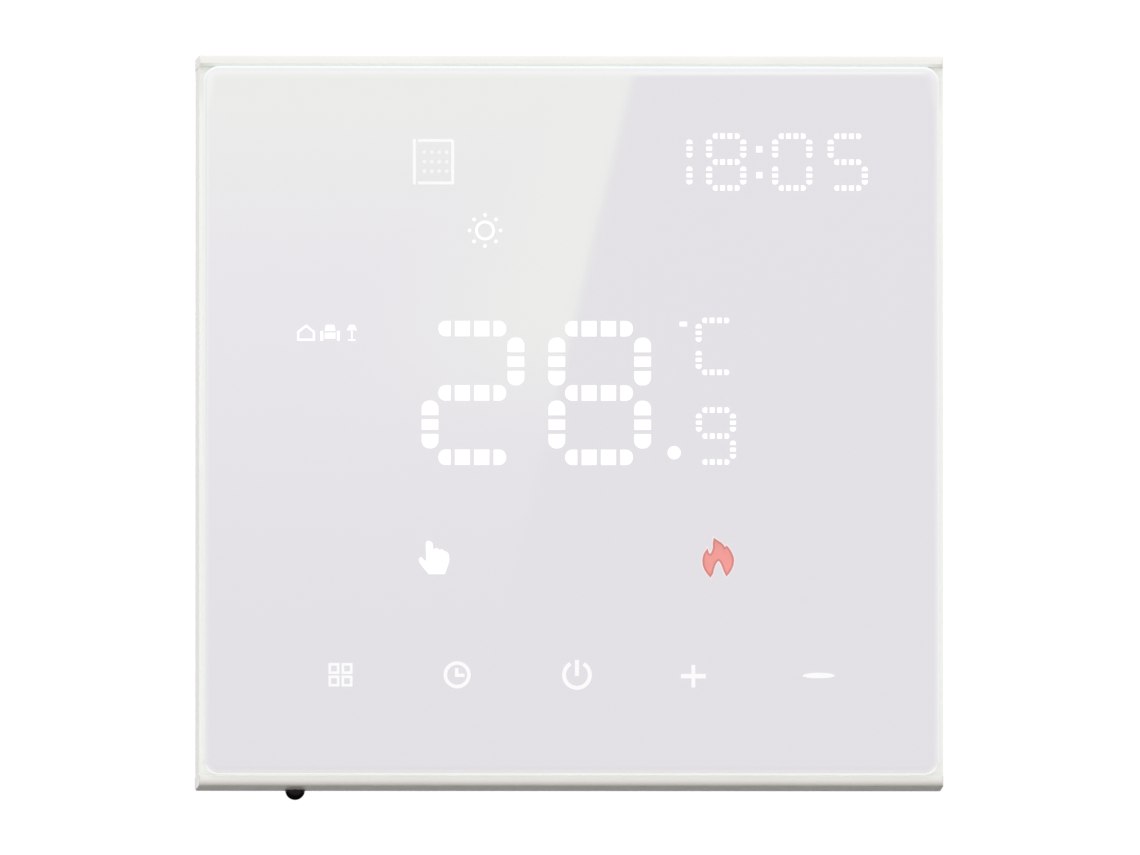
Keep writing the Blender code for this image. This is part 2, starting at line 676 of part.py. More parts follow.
def rear_housing(base):
    low, high = HOUSING_Z
    block = rounded_block(
        (-HOUSING_X, FLANGE[0], low), (HOUSING_X, HOUSING_BACK, high), HOUSING_CORNER, 3, back_rim=0.0010
    )
    housing = piece("rear_housing", block, "housing_plastic", base)
    flange = rounded_block(
        (-HOUSING_X, FLANGE[0], low - FLANGE_REACH),
        (HOUSING_X, FLANGE[1], high + FLANGE_REACH),
        HOUSING_CORNER,
        3,
    )
    join(housing, "flange", flange)
    tool(housing, "shelf", shape((add_box, (-0.05, SHELF_BACK, -0.05), (0.05, 0.05, SHELF_Z))))
    x = HOUSING_X - HOUSING_WALL
    inner_low, inner_high = low + HOUSING_WALL, high - HOUSING_WALL
    top = SHELF_Z + HOUSING_WALL
    deep = shape((add_box, (-x, -0.01, top), (x, HOUSING_BACK - HOUSING_WALL, inner_high)))
    tool(housing, "deep_hollow", deep)
    shallow = (add_box, (-x, -0.01, inner_low), (x, SHELF_BACK - HOUSING_WALL, top + 0.0001))
    tool(housing, "shallow_hollow", shape(shallow))
    x = BLOCK_X + GAP
    low_corner = (-x, BLOCK_Y[0] - GAP, -0.05)
    tool(housing, "terminal_notch", shape((add_box, low_corner, (x, 0.03, BLOCK_Z[1] + GAP))))
    vents = []
    for i in range(VENTS):
        x, half = (i - (VENTS - 1) / 2) * VENT_PITCH, VENT_WIDTH / 2
        vents.append((add_box, (x - half, VENT_Y[0], 0.02), (x + half, VENT_Y[1], 0.05)))
    tool(housing, "vents", shape(*vents))
    ends = (FLANGE[0] - 0.0001, FLANGE[1])
    sinks = [(add_rod, x, z, ends, 0.0023, SCREW_HOLE) for x, z in HOUSING_SCREWS]
    tool(housing, "countersinks", shape(*sinks))
    holes = [(add_rod, x, z, (-0.01, 0.01), SCREW_HOLE, None, 12) for x, z in HOUSING_SCREWS]
    tool(housing, "screw_holes", shape(*holes))


def base_cover(base):
    x = HOUSING_X - HOUSING_WALL - GAP
    low = (-x, FLANGE[0], HOUSING_Z[0] + HOUSING_WALL + GAP)
    high = (x, FLANGE[1], HOUSING_Z[1] - HOUSING_WALL - GAP)
    cover = piece("base_cover", rounded_block(low, high, 0.0004, 1), "cover_plastic", base)
    x, z = connector_half()
    clear = SOCKET_WALL / 2 + 2 * GAP
    opening = ((-x - clear, -0.01, HEADER_Z - z - clear), (x + clear, 0.01, HEADER_Z + z + clear))
    tool(cover, "socket_opening", shape((add_box, *opening)))


def power_board(base):
    x = HOUSING_X - HOUSING_WALL - 2 * GAP
    low = (-x, POWER_BOARD[0], HOUSING_Z[0] + HOUSING_WALL + GAP)
    high = (x, POWER_BOARD[1], HOUSING_Z[1] - HOUSING_WALL - GAP)
    piece("power_board", shape((add_box, low, high)), "circuit_board", base, (0.0, POWER_BOARD[0], 0.0))


def board_header(base):
    x, z = connector_half()
    low, high = (-x, HEADER_BASE[0], HEADER_Z - z), (x, HEADER_BASE[1], HEADER_Z + z)
    at = (0.0, HEADER_BASE[1], HEADER_Z)
    header = piece("board_header", shape((add_box, low, high)), "black_plastic", base, at)
    join(header, "pins", shape(*pin_boxes(PIN_WIDTH, (PIN_TIP, HEADER_BASE[0] + 0.001))))


def relay(base):
    rig = empty("relay", base, RELAY_AT)
    x, y, z = RELAY_SIZE
    floor = shape((add_box, (-x, 0.0, -z), (x, RELAY_BASE_HEIGHT, z)))
    piece("relay_base", floor, "black_plastic", rig)
    start = RELAY_BASE_HEIGHT + GAP
    cover = rounded_block((-x, start, -z), (x, y, z), 0.0006, 2, back_rim=0.0006)
    cover = piece("relay_cover", cover, "relay_plastic", rig)
    wall = RELAY_WALL
    tool(cover, "hollow", shape((add_box, (wall - x, 0.0, wall - z), (x - wall, y - wall, z - wall))))
    foot_end = COIL_X + 0.005
    yoke = shape((add_box, (YOKE_X, start, -STRIP_Z), (foot_end, start + YOKE_THICKNESS, STRIP_Z)))
    yoke = piece("relay_yoke", yoke, "zinc_steel", rig, (YOKE_X, start, 0.0))
    upright = (YOKE_X + YOKE_THICKNESS, YOKE_TOP, STRIP_Z)
    join(yoke, "upright", shape((add_box, (YOKE_X, start + YOKE_THICKNESS / 2, -STRIP_Z), upright)))
    low = start + YOKE_THICKNESS + GAP
    rim, lip = COIL_FLANGE
    profile = [(0.0, POLE_FACE), (POLE_RADIUS, POLE_FACE), (POLE_RADIUS, COIL_TOP), (rim, COIL_TOP)]
    profile += [(rim, COIL_TOP - lip), (COIL_RADIUS, COIL_TOP - lip)]
    profile += [(COIL_RADIUS, low + lip), (rim, low + lip), (rim, low), (0.0, low)]
    turned("relay_coil", profile, "copper", rig, (COIL_X, low, 0.0))
    low, high = (ARMATURE_X[0], ARMATURE_Y[0], -STRIP_Z), (ARMATURE_X[1], ARMATURE_Y[1], STRIP_Z)
    at = (ARMATURE_HINGE[0], ARMATURE_HINGE[1], 0.0)
    piece("relay_armature", shape((add_box, low, high)), "zinc_steel", rig, at)
    near, far = CONTACT_X
    post = shape((add_box, (near, start, -CONTACT_Z), (far, CONTACT_TOP, CONTACT_Z)))
    post = piece("relay_contact", post, "brass", rig, (near, start, 0.0))
    tip, low, high = CONTACT_TIP
    join(post, "tip", shape((add_box, (tip, low, -CONTACT_Z), ((near + far) / 2, high, CONTACT_Z))))


def transformer(base):
    rig = empty("transformer", base, TRANSFORMER_AT)
    x, y, z = CORE
    core = piece("transformer_core", shape((add_box, (-x, 0.0, -z), (x, y, z))), "ferrite", rig)
    outer, low, high = CORE_WINDOW
    windows = [
        (add_box, (-outer, low, -0.01), (-CORE_LEG, high, 0.01)),
        (add_box, (CORE_LEG, low, -0.01), (outer, high, 0.01)),
    ]
    tool(core, "windows", shape(*windows))
    low, high, outer = low + GAP, high - GAP, outer - GAP
    wrap = rounded_block((-outer, low, -WINDING_Z), (outer, high, WINDING_Z), 0.0015, 3)
    winding = piece("transformer_winding", wrap, "winding_tape", rig)
    leg = CORE_LEG + GAP
    tool(winding, "leg_hole", shape((add_box, (-leg, -0.01, -z - GAP), (leg, 0.03, z + GAP))))


def capacitors(base):
    foot = POWER_BOARD[1] + GAP
    for name, (x, z, radius, height) in CAPACITORS.items():
        top, ring = foot + height, radius * 0.08
        profile = [(0.0, top - ring), (radius * 0.8, top - ring), (radius * 0.85, top)]
        profile += [(radius - ring, top), (radius, top - ring), (radius, foot + 3 * ring)]
        profile += [(radius - ring, foot + 2 * ring), (radius, foot + ring), (radius, foot), (0.0, foot)]
        turned(name, profile, "sleeve", base, (x, foot, z), 20)


def surge_parts(base):
    foot = POWER_BOARD[1] + GAP
    radius, flatness = VARISTOR
    bm = bmesh.new()
    bmesh.ops.create_uvsphere(bm, u_segments=16, v_segments=8, radius=radius)
    bmesh.ops.scale(bm, vec=(1.0, 1.0, flatness), verts=bm.verts)
    at = (VARISTOR_AT[0], foot + radius, VARISTOR_AT[1])
    bmesh.ops.translate(bm, vec=at, verts=bm.verts)
    piece("varistor", bm, "varistor_lacquer", base, at)
    (x, z), (width, depth, height) = FUSE_AT, FUSE
    low, high = (x - width / 2, foot, z - height / 2), (x + width / 2, foot + depth, z + height / 2)
    fuse = rounded_block(low, high, 0.0010, 3, back_rim=0.0006)
    piece("fuse", fuse, "fuse_plastic", base, (x, foot, z))


def pole_x():
    return [(i - (POLES - 1) / 2) * POLE_PITCH for i in range(POLES)]


def terminal_block(base):
    low, high = (-BLOCK_X, BLOCK_Y[0], BLOCK_Z[0]), (BLOCK_X, BLOCK_Y[1], BLOCK_Z[1])
    at = (0.0, BLOCK_Y[0], TERMINAL_Z)
    block = piece("terminal_block", shape((add_box, low, high)), "terminal_plastic", base, at)
    half, near, far, reach = CHAMBER
    chambers, necks, wells, holes = [], [], [], []
    for x in pole_x():
        z0, z1 = TERMINAL_Z - reach, TERMINAL_Z + reach
        chambers.append((add_box, (x - half, near, z0), (x + half, far, z1)))
        necks.append((add_rod, x, TERMINAL_Z, (far - 0.0005, WELL_FLOOR + 0.0005), NECK_RADIUS, None, 12))
        wells.append((add_rod, x, TERMINAL_Z, (WELL_FLOOR, 0.03), WELL_RADIUS, None, 12))
        width, front, back = WIRE_HOLE
        holes.append((add_box, (x - width, front, -0.03), (x + width, back, z0 + 0.001)))
    for label, calls in (("chambers", chambers), ("necks", necks), ("wells", wells), ("wire_holes", holes)):
        tool(block, label, shape(*calls))


def terminal_screws(base):
    radius, under, top = TERMINAL_HEAD
    shank, tip = TERMINAL_SHANK
    mesh = screw_mesh(radius, top - under, shank, under - tip, 0.0007, 0.0002)
    for number, x in enumerate(pole_x(), 1):
        at = (x, under, TERMINAL_Z)
        made = place(f"terminal_screw_{number}", mesh, "zinc_screw", base, at)
        made.rotation_euler = (0.0, 0.0, math.pi)


def clamp_mesh():
    """The cage of a rising clamp, about the centre of its own block."""
    half, near, far, reach = CLAMP
    height, inner = (far - near) / 2, half - CLAMP_WALL
    block = shape((add_box, (-half, -height, -reach), (half, height, reach)))
    cage = piece("clamp", block, "brass", None)
    room = height - CLAMP_WALL
    tool(cage, "wire_way", shape((add_box, (-inner, -room, -0.01), (inner, room, 0.01))))
    tool(cage, "thread", shape((add_rod, 0.0, 0.0, (0.0, 0.01), CLAMP_HOLE, None, 12)))
    return freeze(cage)


def terminal_clamps(base):
    mesh = clamp_mesh()
    middle = (CLAMP[1] + CLAMP[2]) / 2
    for number, x in enumerate(pole_x(), 1):
        place(f"terminal_clamp_{number}", mesh, "brass", base, (x, middle, TERMINAL_Z))


def mount_screws(base):
    mesh = screw_mesh(0.0035, 0.0020, 0.0019, 0.0210, 0.0010, 0.0010)
    for side, x in (("left", -FIXING_X), ("right", FIXING_X)):
        place(f"mount_screw_{side}", mesh, "zinc_screw", base, (x, FLANGE[1], 0.0))


def housing_screws(base):
    head, neck, tip = FLANGE[0] + 0.0002, FLANGE[1] - 0.0002, 0.0020
    for number, (x, z) in enumerate(HOUSING_SCREWS, 1):
        profile = [(0.0, tip), (0.0005, tip), (0.0009, tip - 0.0005), (0.0009, neck)]
        profile += [(0.0018, head), (0.0, head)]
        made = turned(f"housing_screw_{number}", profile, "zinc_screw", base, (x, neck, z), 12)
        slot = shape((add_box, (x - 0.0013, -0.01, z - 0.0002), (x + 0.0013, head + 0.0004, z + 0.0002)))
        tool(made, "slot", slot)


def collection(name):
    made = bpy.data.collections.get(name) or bpy.data.collections.new(name)
    if made.name not in bpy.context.scene.collection.children:
        bpy.context.scene.collection.children.link(made)
    return made


for old in list(bpy.data.objects):
    bpy.data.objects.remove(old)
PARTS = collection("wall_thermostat")
TOOLS = collection("cutters")

FRONT = empty("front_panel")
for make in (front_glass, glass_adhesive, front_bezel, icon_film, display_reflector, display_board):
    make(FRONT)
for make in (touch_springs, display_electronics, board_socket, air_sensor, inner_cover, cover_screws):
    make(FRONT)

BASE = empty("power_base")
for make in (mounting_plate, rear_housing, base_cover, power_board, board_header):
    make(BASE)
for make in (relay, transformer, capacitors, surge_parts):
    make(BASE)
for make in (terminal_block, terminal_screws, terminal_clamps, mount_screws, housing_screws):
    make(BASE)
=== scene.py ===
"""The looks of a flush wall thermostat: a lit touch glass in a white moulded frame, which pulls off
a steel plate, and the power base that sits in the wall box behind it."""

import math

import bmesh
import bpy
from mathutils import Matrix, Vector


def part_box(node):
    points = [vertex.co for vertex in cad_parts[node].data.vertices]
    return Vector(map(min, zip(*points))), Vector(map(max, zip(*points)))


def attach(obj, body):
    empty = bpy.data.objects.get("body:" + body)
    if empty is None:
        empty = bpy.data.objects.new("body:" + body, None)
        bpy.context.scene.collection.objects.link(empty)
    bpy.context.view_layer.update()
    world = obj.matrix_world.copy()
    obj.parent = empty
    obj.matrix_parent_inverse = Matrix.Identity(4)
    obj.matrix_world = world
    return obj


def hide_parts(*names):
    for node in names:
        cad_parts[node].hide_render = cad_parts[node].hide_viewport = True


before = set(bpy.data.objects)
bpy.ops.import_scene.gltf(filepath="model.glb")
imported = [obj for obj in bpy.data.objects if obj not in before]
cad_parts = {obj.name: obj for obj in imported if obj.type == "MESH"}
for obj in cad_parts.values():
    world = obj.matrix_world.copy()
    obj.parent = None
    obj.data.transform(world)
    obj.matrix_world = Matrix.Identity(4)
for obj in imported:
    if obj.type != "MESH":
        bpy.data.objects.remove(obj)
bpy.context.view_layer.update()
MM = 0.001

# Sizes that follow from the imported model
GLASS_LOW, GLASS_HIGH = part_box("front_glass")
BEZEL_LOW, BEZEL_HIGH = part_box("front_bezel")
SENSOR_LOW, SENSOR_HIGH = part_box("air_sensor")
BLOCK_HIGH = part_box("terminal_block")[1]
HOUSING_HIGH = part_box("rear_housing")[1]

# Glass: half sizes, corner, and how far its rounded edge reaches in and back
GLASS_X = GLASS_HIGH.x
GLASS_Z = GLASS_HIGH.z
GLASS_CORNER = 0.0019
GLASS_EDGE_IN = 0.0011
GLASS_EDGE_BACK = 0.0004
GLASS_FACE = GLASS_LOW.y
BACK_CHAMFER = 0.0002

# Frame: the rails' nose, the draft of its sides, and the side strips' level
RAIL_FRONT = BEZEL_LOW.y
FRAME_DEPTH = BEZEL_HIGH.y - RAIL_FRONT
RAIL_NOSE = 0.00085
SIDE_NOSE = 0.0002
DRAFT = math.tan(math.radians(1.25))
FRAME_CORNER = 0.0003
STRIP_FRONT = GLASS_FACE + 0.0014
STRIP_STEP = 0.00005

# Frame, inside: half sizes of what is cut from the block, and the glass's seat, front and back
OVERLAP = 0.00001
POCKET = (GLASS_X - OVERLAP, GLASS_Z - 2 * OVERLAP)
SEAT = (-0.0106, -0.0094)
CAVITY = (0.0415, 0.0405)
WINDOW = (0.0376, 0.0368)
HOLLOW_CORNER = 0.0008
FLARES = ((1, 0.00032), (-1, 0.00010))  # the side each rail is on, and its lip's slant
BITE = 0.0001
BEYOND = 0.1  # cuts reach this far out of the block sideways, and half as far along its depth

# Frame, behind: screw bosses and side legs
BOSS = (0.0393, 0.0383)
BOSS_RADIUS = 0.0023
BOSS_END = -0.0044
PILOT_RADIUS = 0.0010
PILOT_FLOOR = SEAT[1] + 0.0006
LEG_X = (0.0405, 0.0419)
LEG_Z = (0.0140, 0.0220)
LEG_END = -0.0015
ROOT = 0.0004
SENSOR_GAP = 0.0002

FRONT, BASE = "front_panel", "power_base"


# ---- shader nodes --------------------------------------------------------------------------


class Value:
    """An output socket that takes part in arithmetic. Each sign adds a Math node."""

    def __init__(self, nodes, socket):
        self.nodes = nodes
        self.socket = socket

    def math(self, operation, *values):
        return self.nodes.add("ShaderNodeMath", {"operation": operation}, dict(enumerate(values)))

    def __add__(self, other):
        return self.math("ADD", self, other)

    def __sub__(self, other):
        return self.math("SUBTRACT", self, other)

    def __rsub__(self, other):
        return self.math("SUBTRACT", other, self)

    def __mul__(self, other):
        return self.math("MULTIPLY", self, other)

    def __pow__(self, other):
        return self.math("POWER", self, other)

    def __abs__(self):
        return self.math("ABSOLUTE", self)

    __radd__ = __add__
    __rmul__ = __mul__

    def above(self, other):
        return self.math("MAXIMUM", self, other)

    def below(self, other):
        return self.math("MINIMUM", self, other)


class Nodes:
    """A node tree that nodes are added to by one method."""

    def __init__(self, tree):
        self.tree = tree

    def add(self, kind, settings=None, sockets=None, output=0):
        made = self.tree.nodes.new(kind)
        for name, value in (settings or {}).items():
            setattr(made, name, value)
        for key, value in (sockets or {}).items():
            self.feed(made.inputs[key], value)
        return Value(self, made.outputs[output])

    def feed(self, socket, value):
        if isinstance(value, Value):
            self.tree.links.new(value.socket, socket)
        else:
            socket.default_value = value

    def place(self):
        """Where a point lies on the piece, in metres."""
        return self.add("ShaderNodeTexCoord", output="Object")

    def axes(self, vector):
        split = self.add("ShaderNodeSeparateXYZ", sockets={0: vector})
        return [Value(self, socket) for socket in split.socket.node.outputs]

    def stretched(self, vector, factors):
        return self.add("ShaderNodeVectorMath", {"operation": "MULTIPLY"}, {0: vector, 1: factors})

    def noise(self, vector, scale, detail=2.0):
        sockets = {"Vector": vector, "Scale": scale, "Detail": detail}
        return self.add("ShaderNodeTexNoise", sockets=sockets)

    def wave(self, value):
        return self.add("ShaderNodeMath", {"operation": "SINE"}, {0: value})

    def rise(self, value, low, high):
        """0 below low, 1 above high, and smooth between."""
        ends = {"Value": value, "From Min": low, "From Max": high}
        return self.add("ShaderNodeMapRange", {"interpolation_type": "SMOOTHSTEP"}, ends)

    def blend(self, share, first, second):
        """A colour from first, where share is 0, to second."""
        sides = {0: share, 6: rgba(first), 7: rgba(second)}
        return self.add("ShaderNodeMix", {"data_type": "RGBA"}, sides, output=2)


def rgba(colour):
    return colour if isinstance(colour, Value) else (*colour[:3], 1.0)


class Finish(Nodes):
    """A surface finish: a material whose shader takes plain numbers or patterns."""

    def __init__(self, name, colour, roughness, **fixed):
        self.material = bpy.data.materials.new(name)
        self.material.use_nodes = True
        super().__init__(self.material.node_tree)
        self.shader = self.tree.nodes["Principled BSDF"]
        self.set(Base_Color=rgba(colour), Roughness=roughness, **fixed)

    def set(self, **sockets):
        for name, value in sockets.items():
            self.feed(self.shader.inputs[name.replace("_", " ")], value)
        return self

    def relief(self, height, depth):
        bump = self.add("ShaderNodeBump", sockets={"Height": height, "Distance": depth})
        return self.set(Normal=bump)


# ---- finishes ------------------------------------------------------------------------------


FLOW_STRETCH, FLOW_SCALE, FLOW_SHADE = (1.0, 1.0, 0.35), 90.0, 0.972
GLOSS_SWING = 0.12
PATCH_SCALE = 260.0
DRAWN_DEPTH = 0.000003


def moulded(name, colour, roughness=0.42, grain=0.000005, spark=3800.0, **fixed):
    """Moulded plastic: a fine spark-eroded grain, and flow marks that barely change its tone."""
    made = Finish(name, colour, roughness, **fixed)
    where = made.place()
    flow = made.noise(made.stretched(where, FLOW_STRETCH), FLOW_SCALE, 3.0)
    fine = made.noise(where, spark, 2.0)
    shade = [c * FLOW_SHADE for c in colour]
    made.set(Base_Color=made.blend(made.rise(flow, 0.3, 0.7), shade, colour))
    made.set(Roughness=roughness - GLOSS_SWING / 2 + fine * GLOSS_SWING)
    return made.relief(fine, grain)


def metal(name, colour, roughness=0.3, lines=(1.0, 1.0, 14.0), scale=500.0, spangle=0.0):
    """Bare or plated metal: drawn lines, and for zinc a faint patchy spangle."""
    made = Finish(name, colour, roughness, Metallic=1.0)
    where = made.place()
    drawn = made.noise(made.stretched(where, lines), scale, 3.0)
    patch = made.noise(where, PATCH_SCALE, 2.0)
    dull = [c * (0.86 - spangle) for c in colour]
    made.set(Base_Color=made.blend(made.rise(patch * 0.5 + drawn * 0.5, 0.3, 0.65), dull, colour))
    made.set(Roughness=roughness - 0.08 + drawn * GLOSS_SWING + patch * (0.08 + spangle))
    return made.relief(drawn, DRAWN_DEPTH)


TRACKS_ACROSS, TRACKS_ALONG = 1900.0, 1500.0
FIELD_SCALE = 130.0
WEAVE_SCALE = 2600.0


def circuit(name, mask, copper_under):
    """A printed board: fields of straight tracks and copper, lighter through the solder mask."""
    made = Finish(name, mask, 0.35, Coat_Weight=0.6, Coat_Roughness=0.18)
    where = made.place()
    x, _, z = made.axes(where)
    across, along = abs(made.wave(x * TRACKS_ACROSS)), abs(made.wave(z * TRACKS_ALONG))
    fields = {"Vector": where, "Scale": FIELD_SCALE}
    field = made.add("ShaderNodeTexVoronoi", {"distance": "CHEBYCHEV"}, fields, "Color")
    turned_field, poured_field, _ = made.axes(field)
    side = made.rise(turned_field, 0.49, 0.51)
    track = made.rise(across * side + along * (1 - side), 0.80, 0.90)
    track = track.above(made.rise(poured_field, 0.80, 0.82))
    made.set(Base_Color=made.blend(track, mask, copper_under))
    made.set(Roughness=0.42 - track * 0.12)
    return made.relief(track + made.noise(where, WEAVE_SCALE, 1.0) * 0.2, 0.00001)


PAINTED_HIGHLIGHT_IN, PAINTED_HIGHLIGHT_IN_ABOVE = 0.0009, 0.0008  # how far the painted edge highlight reaches in, and more on top
RIM_IN = (0.00012, 0.00032)
UPPER_BAND = (0.006, 0.0015)  # below the glass's top
LOWER_BAND = (0.0016, 0.0004)  # above its bottom
SIDE_BAND = (0.0004, 0.0006)  # behind its face
# Painted highlight tones at the bottom, lighter as a painted reflection of light from below, then
# the side wall's own greenish tone
PAINTED_EDGE_HIGHLIGHT_BELOW, PAINTED_RIM_HIGHLIGHT_BELOW, SIDE_TONE = (0.93, 0.93, 0.95), (0.97, 0.97, 0.98), (0.74, 0.83, 0.79)
# Painted glow: emission from the glass's rim, stronger at the bottom, and from its sides, weaker
# near the top, which lightens the shaded frame beside the glass
PAINTED_RIM_GLOW, PAINTED_RIM_GLOW_BELOW = (0.18, 0.20, 0.19), (0.38, 0.40, 0.40)
PAINTED_SIDE_GLOW, PAINTED_SIDE_GLOW_ABOVE = (0.93, 1.0, 1.0), (0.52, 0.55, 0.56)


def printed_glass():
    """Clear glass with a white print behind it. The print's tone lifts towards the ground edge as a
    painted highlight, lighter on the rim and along the bottom as painted reflection, and the rim
    and sides give a painted glow onto the frame."""
    made = Finish("white_glass", GLASS_TONE, 0.3, Coat_Weight=1.0, Coat_Roughness=0.015)
    made.set(Specular_IOR_Level=0.0, Coat_IOR=1.5)
    x, y, z = made.axes(made.place())
    over_x = abs(x) - (GLASS_X - GLASS_CORNER)
    over_z = abs(z) - (GLASS_Z - GLASS_CORNER)
    outside = (over_x.above(0.0) ** 2.0 + over_z.above(0.0) ** 2.0) ** 0.5
    reach = GLASS_CORNER - outside - over_x.above(over_z).below(0.0)
    upper = made.rise(z, *[GLASS_Z - drop for drop in UPPER_BAND])
    lower = made.rise(z * -1.0, *[GLASS_Z - lift for lift in LOWER_BAND])
    side = made.rise(y, *[GLASS_FACE + depth for depth in SIDE_BAND])
    # Painted highlight: the print is lightened in a band along the ground edge, wider near the top
    painted_edge_highlight = 1 - made.rise(reach, 0.0001, PAINTED_HIGHLIGHT_IN + upper * PAINTED_HIGHLIGHT_IN_ABOVE)
    rim = 1 - made.rise(reach, *RIM_IN)
    cloud = made.noise(made.place(), 45.0, 3.0)
    tone = made.blend(cloud * 0.5, GLASS_TONE, [c * 0.994 for c in GLASS_TONE])
    # Painted highlight along the edge, lighter still along the bottom as a painted reflection
    tone = made.blend(painted_edge_highlight, tone, made.blend(lower, PAINTED_EDGE_HIGHLIGHT, PAINTED_EDGE_HIGHLIGHT_BELOW))
    # Painted highlight on the rim, lighter along the bottom as a painted reflection
    tone = made.blend(rim, tone, made.blend(lower, PAINTED_RIM_HIGHLIGHT, PAINTED_RIM_HIGHLIGHT_BELOW))
    made.set(Base_Color=made.blend(side, tone, SIDE_TONE))
    # Painted glow: the rim and the sides give off light though no lamp is there
    painted_glow = made.blend(rim, (0.0, 0.0, 0.0), made.blend(lower, PAINTED_RIM_GLOW, PAINTED_RIM_GLOW_BELOW))
    painted_glow = made.blend(side, painted_glow, made.blend(upper, PAINTED_SIDE_GLOW, PAINTED_SIDE_GLOW_ABOVE))
    return made.set(Emission_Color=painted_glow, Emission_Strength=PAINTED_GLOW_STRENGTH)


def lit(name, colour, strength=1.0, mottle=0.02):
    """A light guide lit from behind, a touch dimmer between its lamps."""
    made = Finish(name, UNLIT, 0.6, Specular_IOR_Level=0.0, Emission_Strength=strength)
    patch = made.noise(made.place(), 900.0, 1.0)
    return made.set(Emission_Color=made.blend(patch, colour, [c * (1 - mottle) for c in colour]))


GLASS_TONE = (0.762, 0.754, 0.797)
# Painted highlight on the print by the ground edge, painted highlight on the rim, and the strength
# of the painted glow from the rim and sides
PAINTED_EDGE_HIGHLIGHT = (0.835, 0.832, 0.865)
PAINTED_RIM_HIGHLIGHT = (0.80, 0.81, 0.82)
PAINTED_GLOW_STRENGTH = 0.60
WHITE_SHELL = (0.838, 0.828, 0.804)
UNLIT = (0.02, 0.02, 0.02)

FINISHES = {
    "white_glass": printed_glass(),
    "bezel_plastic": moulded("bezel_plastic", WHITE_SHELL, 0.34, 0.000003),
    "cover_plastic": moulded("cover_plastic", (0.80, 0.80, 0.785), 0.5),
    "housing_plastic": moulded("housing_plastic", (0.78, 0.78, 0.76), 0.5, 0.000008, 2600.0),
    "reflector_plastic": moulded("reflector_plastic", (0.88, 0.88, 0.88), 0.45),
    "film": moulded("film", (0.70, 0.70, 0.72), 0.3, 0.000001),
    "foam_tape": moulded("foam_tape", (0.55, 0.55, 0.54), 0.9, 0.00003, 1500.0),
    "circuit_board": circuit("circuit_board", (0.012, 0.105, 0.045), (0.05, 0.22, 0.09)),
    "chip_epoxy": moulded("chip_epoxy", (0.028, 0.028, 0.030), 0.6, 0.000008, 3000.0),
    "black_plastic": moulded("black_plastic", (0.030, 0.030, 0.032), 0.45),
    "sensor_epoxy": moulded(
        "sensor_epoxy", (0.005, 0.005, 0.006), 0.3, 0.000002, 1600.0, Specular_IOR_Level=0.16
    ),
    "spring_steel": metal("spring_steel", (0.62, 0.62, 0.62), 0.28),
    "tinned_wire": metal("tinned_wire", (0.75, 0.75, 0.74), 0.3),
    "zinc_steel": metal("zinc_steel", (0.66, 0.68, 0.70), 0.36, (1.0, 1.0, 3.0), 260.0, 0.08),
    "zinc_screw": metal("zinc_screw", (0.66, 0.67, 0.69), 0.28, (1.0, 9.0, 1.0), 700.0, 0.04),
    "brass": metal("brass", (0.72, 0.52, 0.22), 0.3, (1.0, 12.0, 1.0), 600.0),
    "terminal_plastic": moulded("terminal_plastic", (0.035, 0.19, 0.085), 0.42, 0.000006),
    "relay_plastic": moulded("relay_plastic", (0.02, 0.06, 0.22), 0.35),
    "ferrite": moulded("ferrite", (0.055, 0.055, 0.058), 0.7, 0.00002, 1800.0),
    "winding_tape": moulded(
        "winding_tape", (0.78, 0.58, 0.06), 0.35, 0.000006, 1200.0, Coat_Weight=0.4
    ),
    "copper": metal("copper", (0.80, 0.34, 0.16), 0.34, (1.0, 40.0, 1.0), 900.0),
    "can_aluminium": metal("can_aluminium", (0.72, 0.72, 0.74), 0.3),
    "sleeve": moulded("sleeve", (0.02, 0.025, 0.07), 0.32, 0.000002, 900.0, Coat_Weight=0.5),
    "varistor_lacquer": moulded("varistor_lacquer", (0.04, 0.13, 0.48), 0.3, 0.00001, 900.0),
    "fuse_plastic": moulded("fuse_plastic", (0.20, 0.09, 0.04), 0.42),
    "cell_steel": metal("cell_steel", (0.70, 0.70, 0.70), 0.22, (6.0, 1.0, 1.0), 800.0),
    "lit_white": lit("lit_white", (1.0, 1.0, 1.0), 1.06),
    "lit_keys": lit("lit_keys", (0.955, 0.955, 0.965)),
    "lit_faint": lit("lit_faint", (0.895, 0.900, 0.905)),
    "lit_flame": lit("lit_flame", (0.97, 0.36, 0.335), 1.0, 0.20),
    "lit_flame_edge": lit("lit_flame_edge", (0.66, 0.25, 0.25), 1.0, 0.16),
    "lit_flame_fade": lit("lit_flame_fade", (0.82, 0.31, 0.285), 1.0, 0.16),
    "lit_flame_halo": lit("lit_flame_halo", (0.89, 0.81, 0.81), 1.0, 0.04),
    "label_film": metal("label_film", (0.50, 0.51, 0.53), 0.45, (1.0, 1.0, 20.0), 300.0),
    "label_ink": moulded("label_ink", (0.03, 0.03, 0.035), 0.6, 0.000001),
    "pad_print": moulded("pad_print", (0.80, 0.80, 0.78), 0.55, 0.000002),
}


# ---- meshes --------------------------------------------------------------------------------


SHARP = 35.0  # degrees: edges that turn more than this stay sharp in the shading


def placed(name, data):
    made = bpy.data.objects.new(name, data)
    bpy.context.scene.collection.objects.link(made)
    return made


def mesh_of(name, bm):
    """Ends a mesh in the making."""
    mesh = bpy.data.meshes.new(name)
    bm.to_mesh(mesh)
    bm.free()
    return mesh


def shade_smooth(mesh, sharp=SHARP):
    mesh.shade_smooth()
    mesh.set_sharp_from_angle(angle=math.radians(sharp))


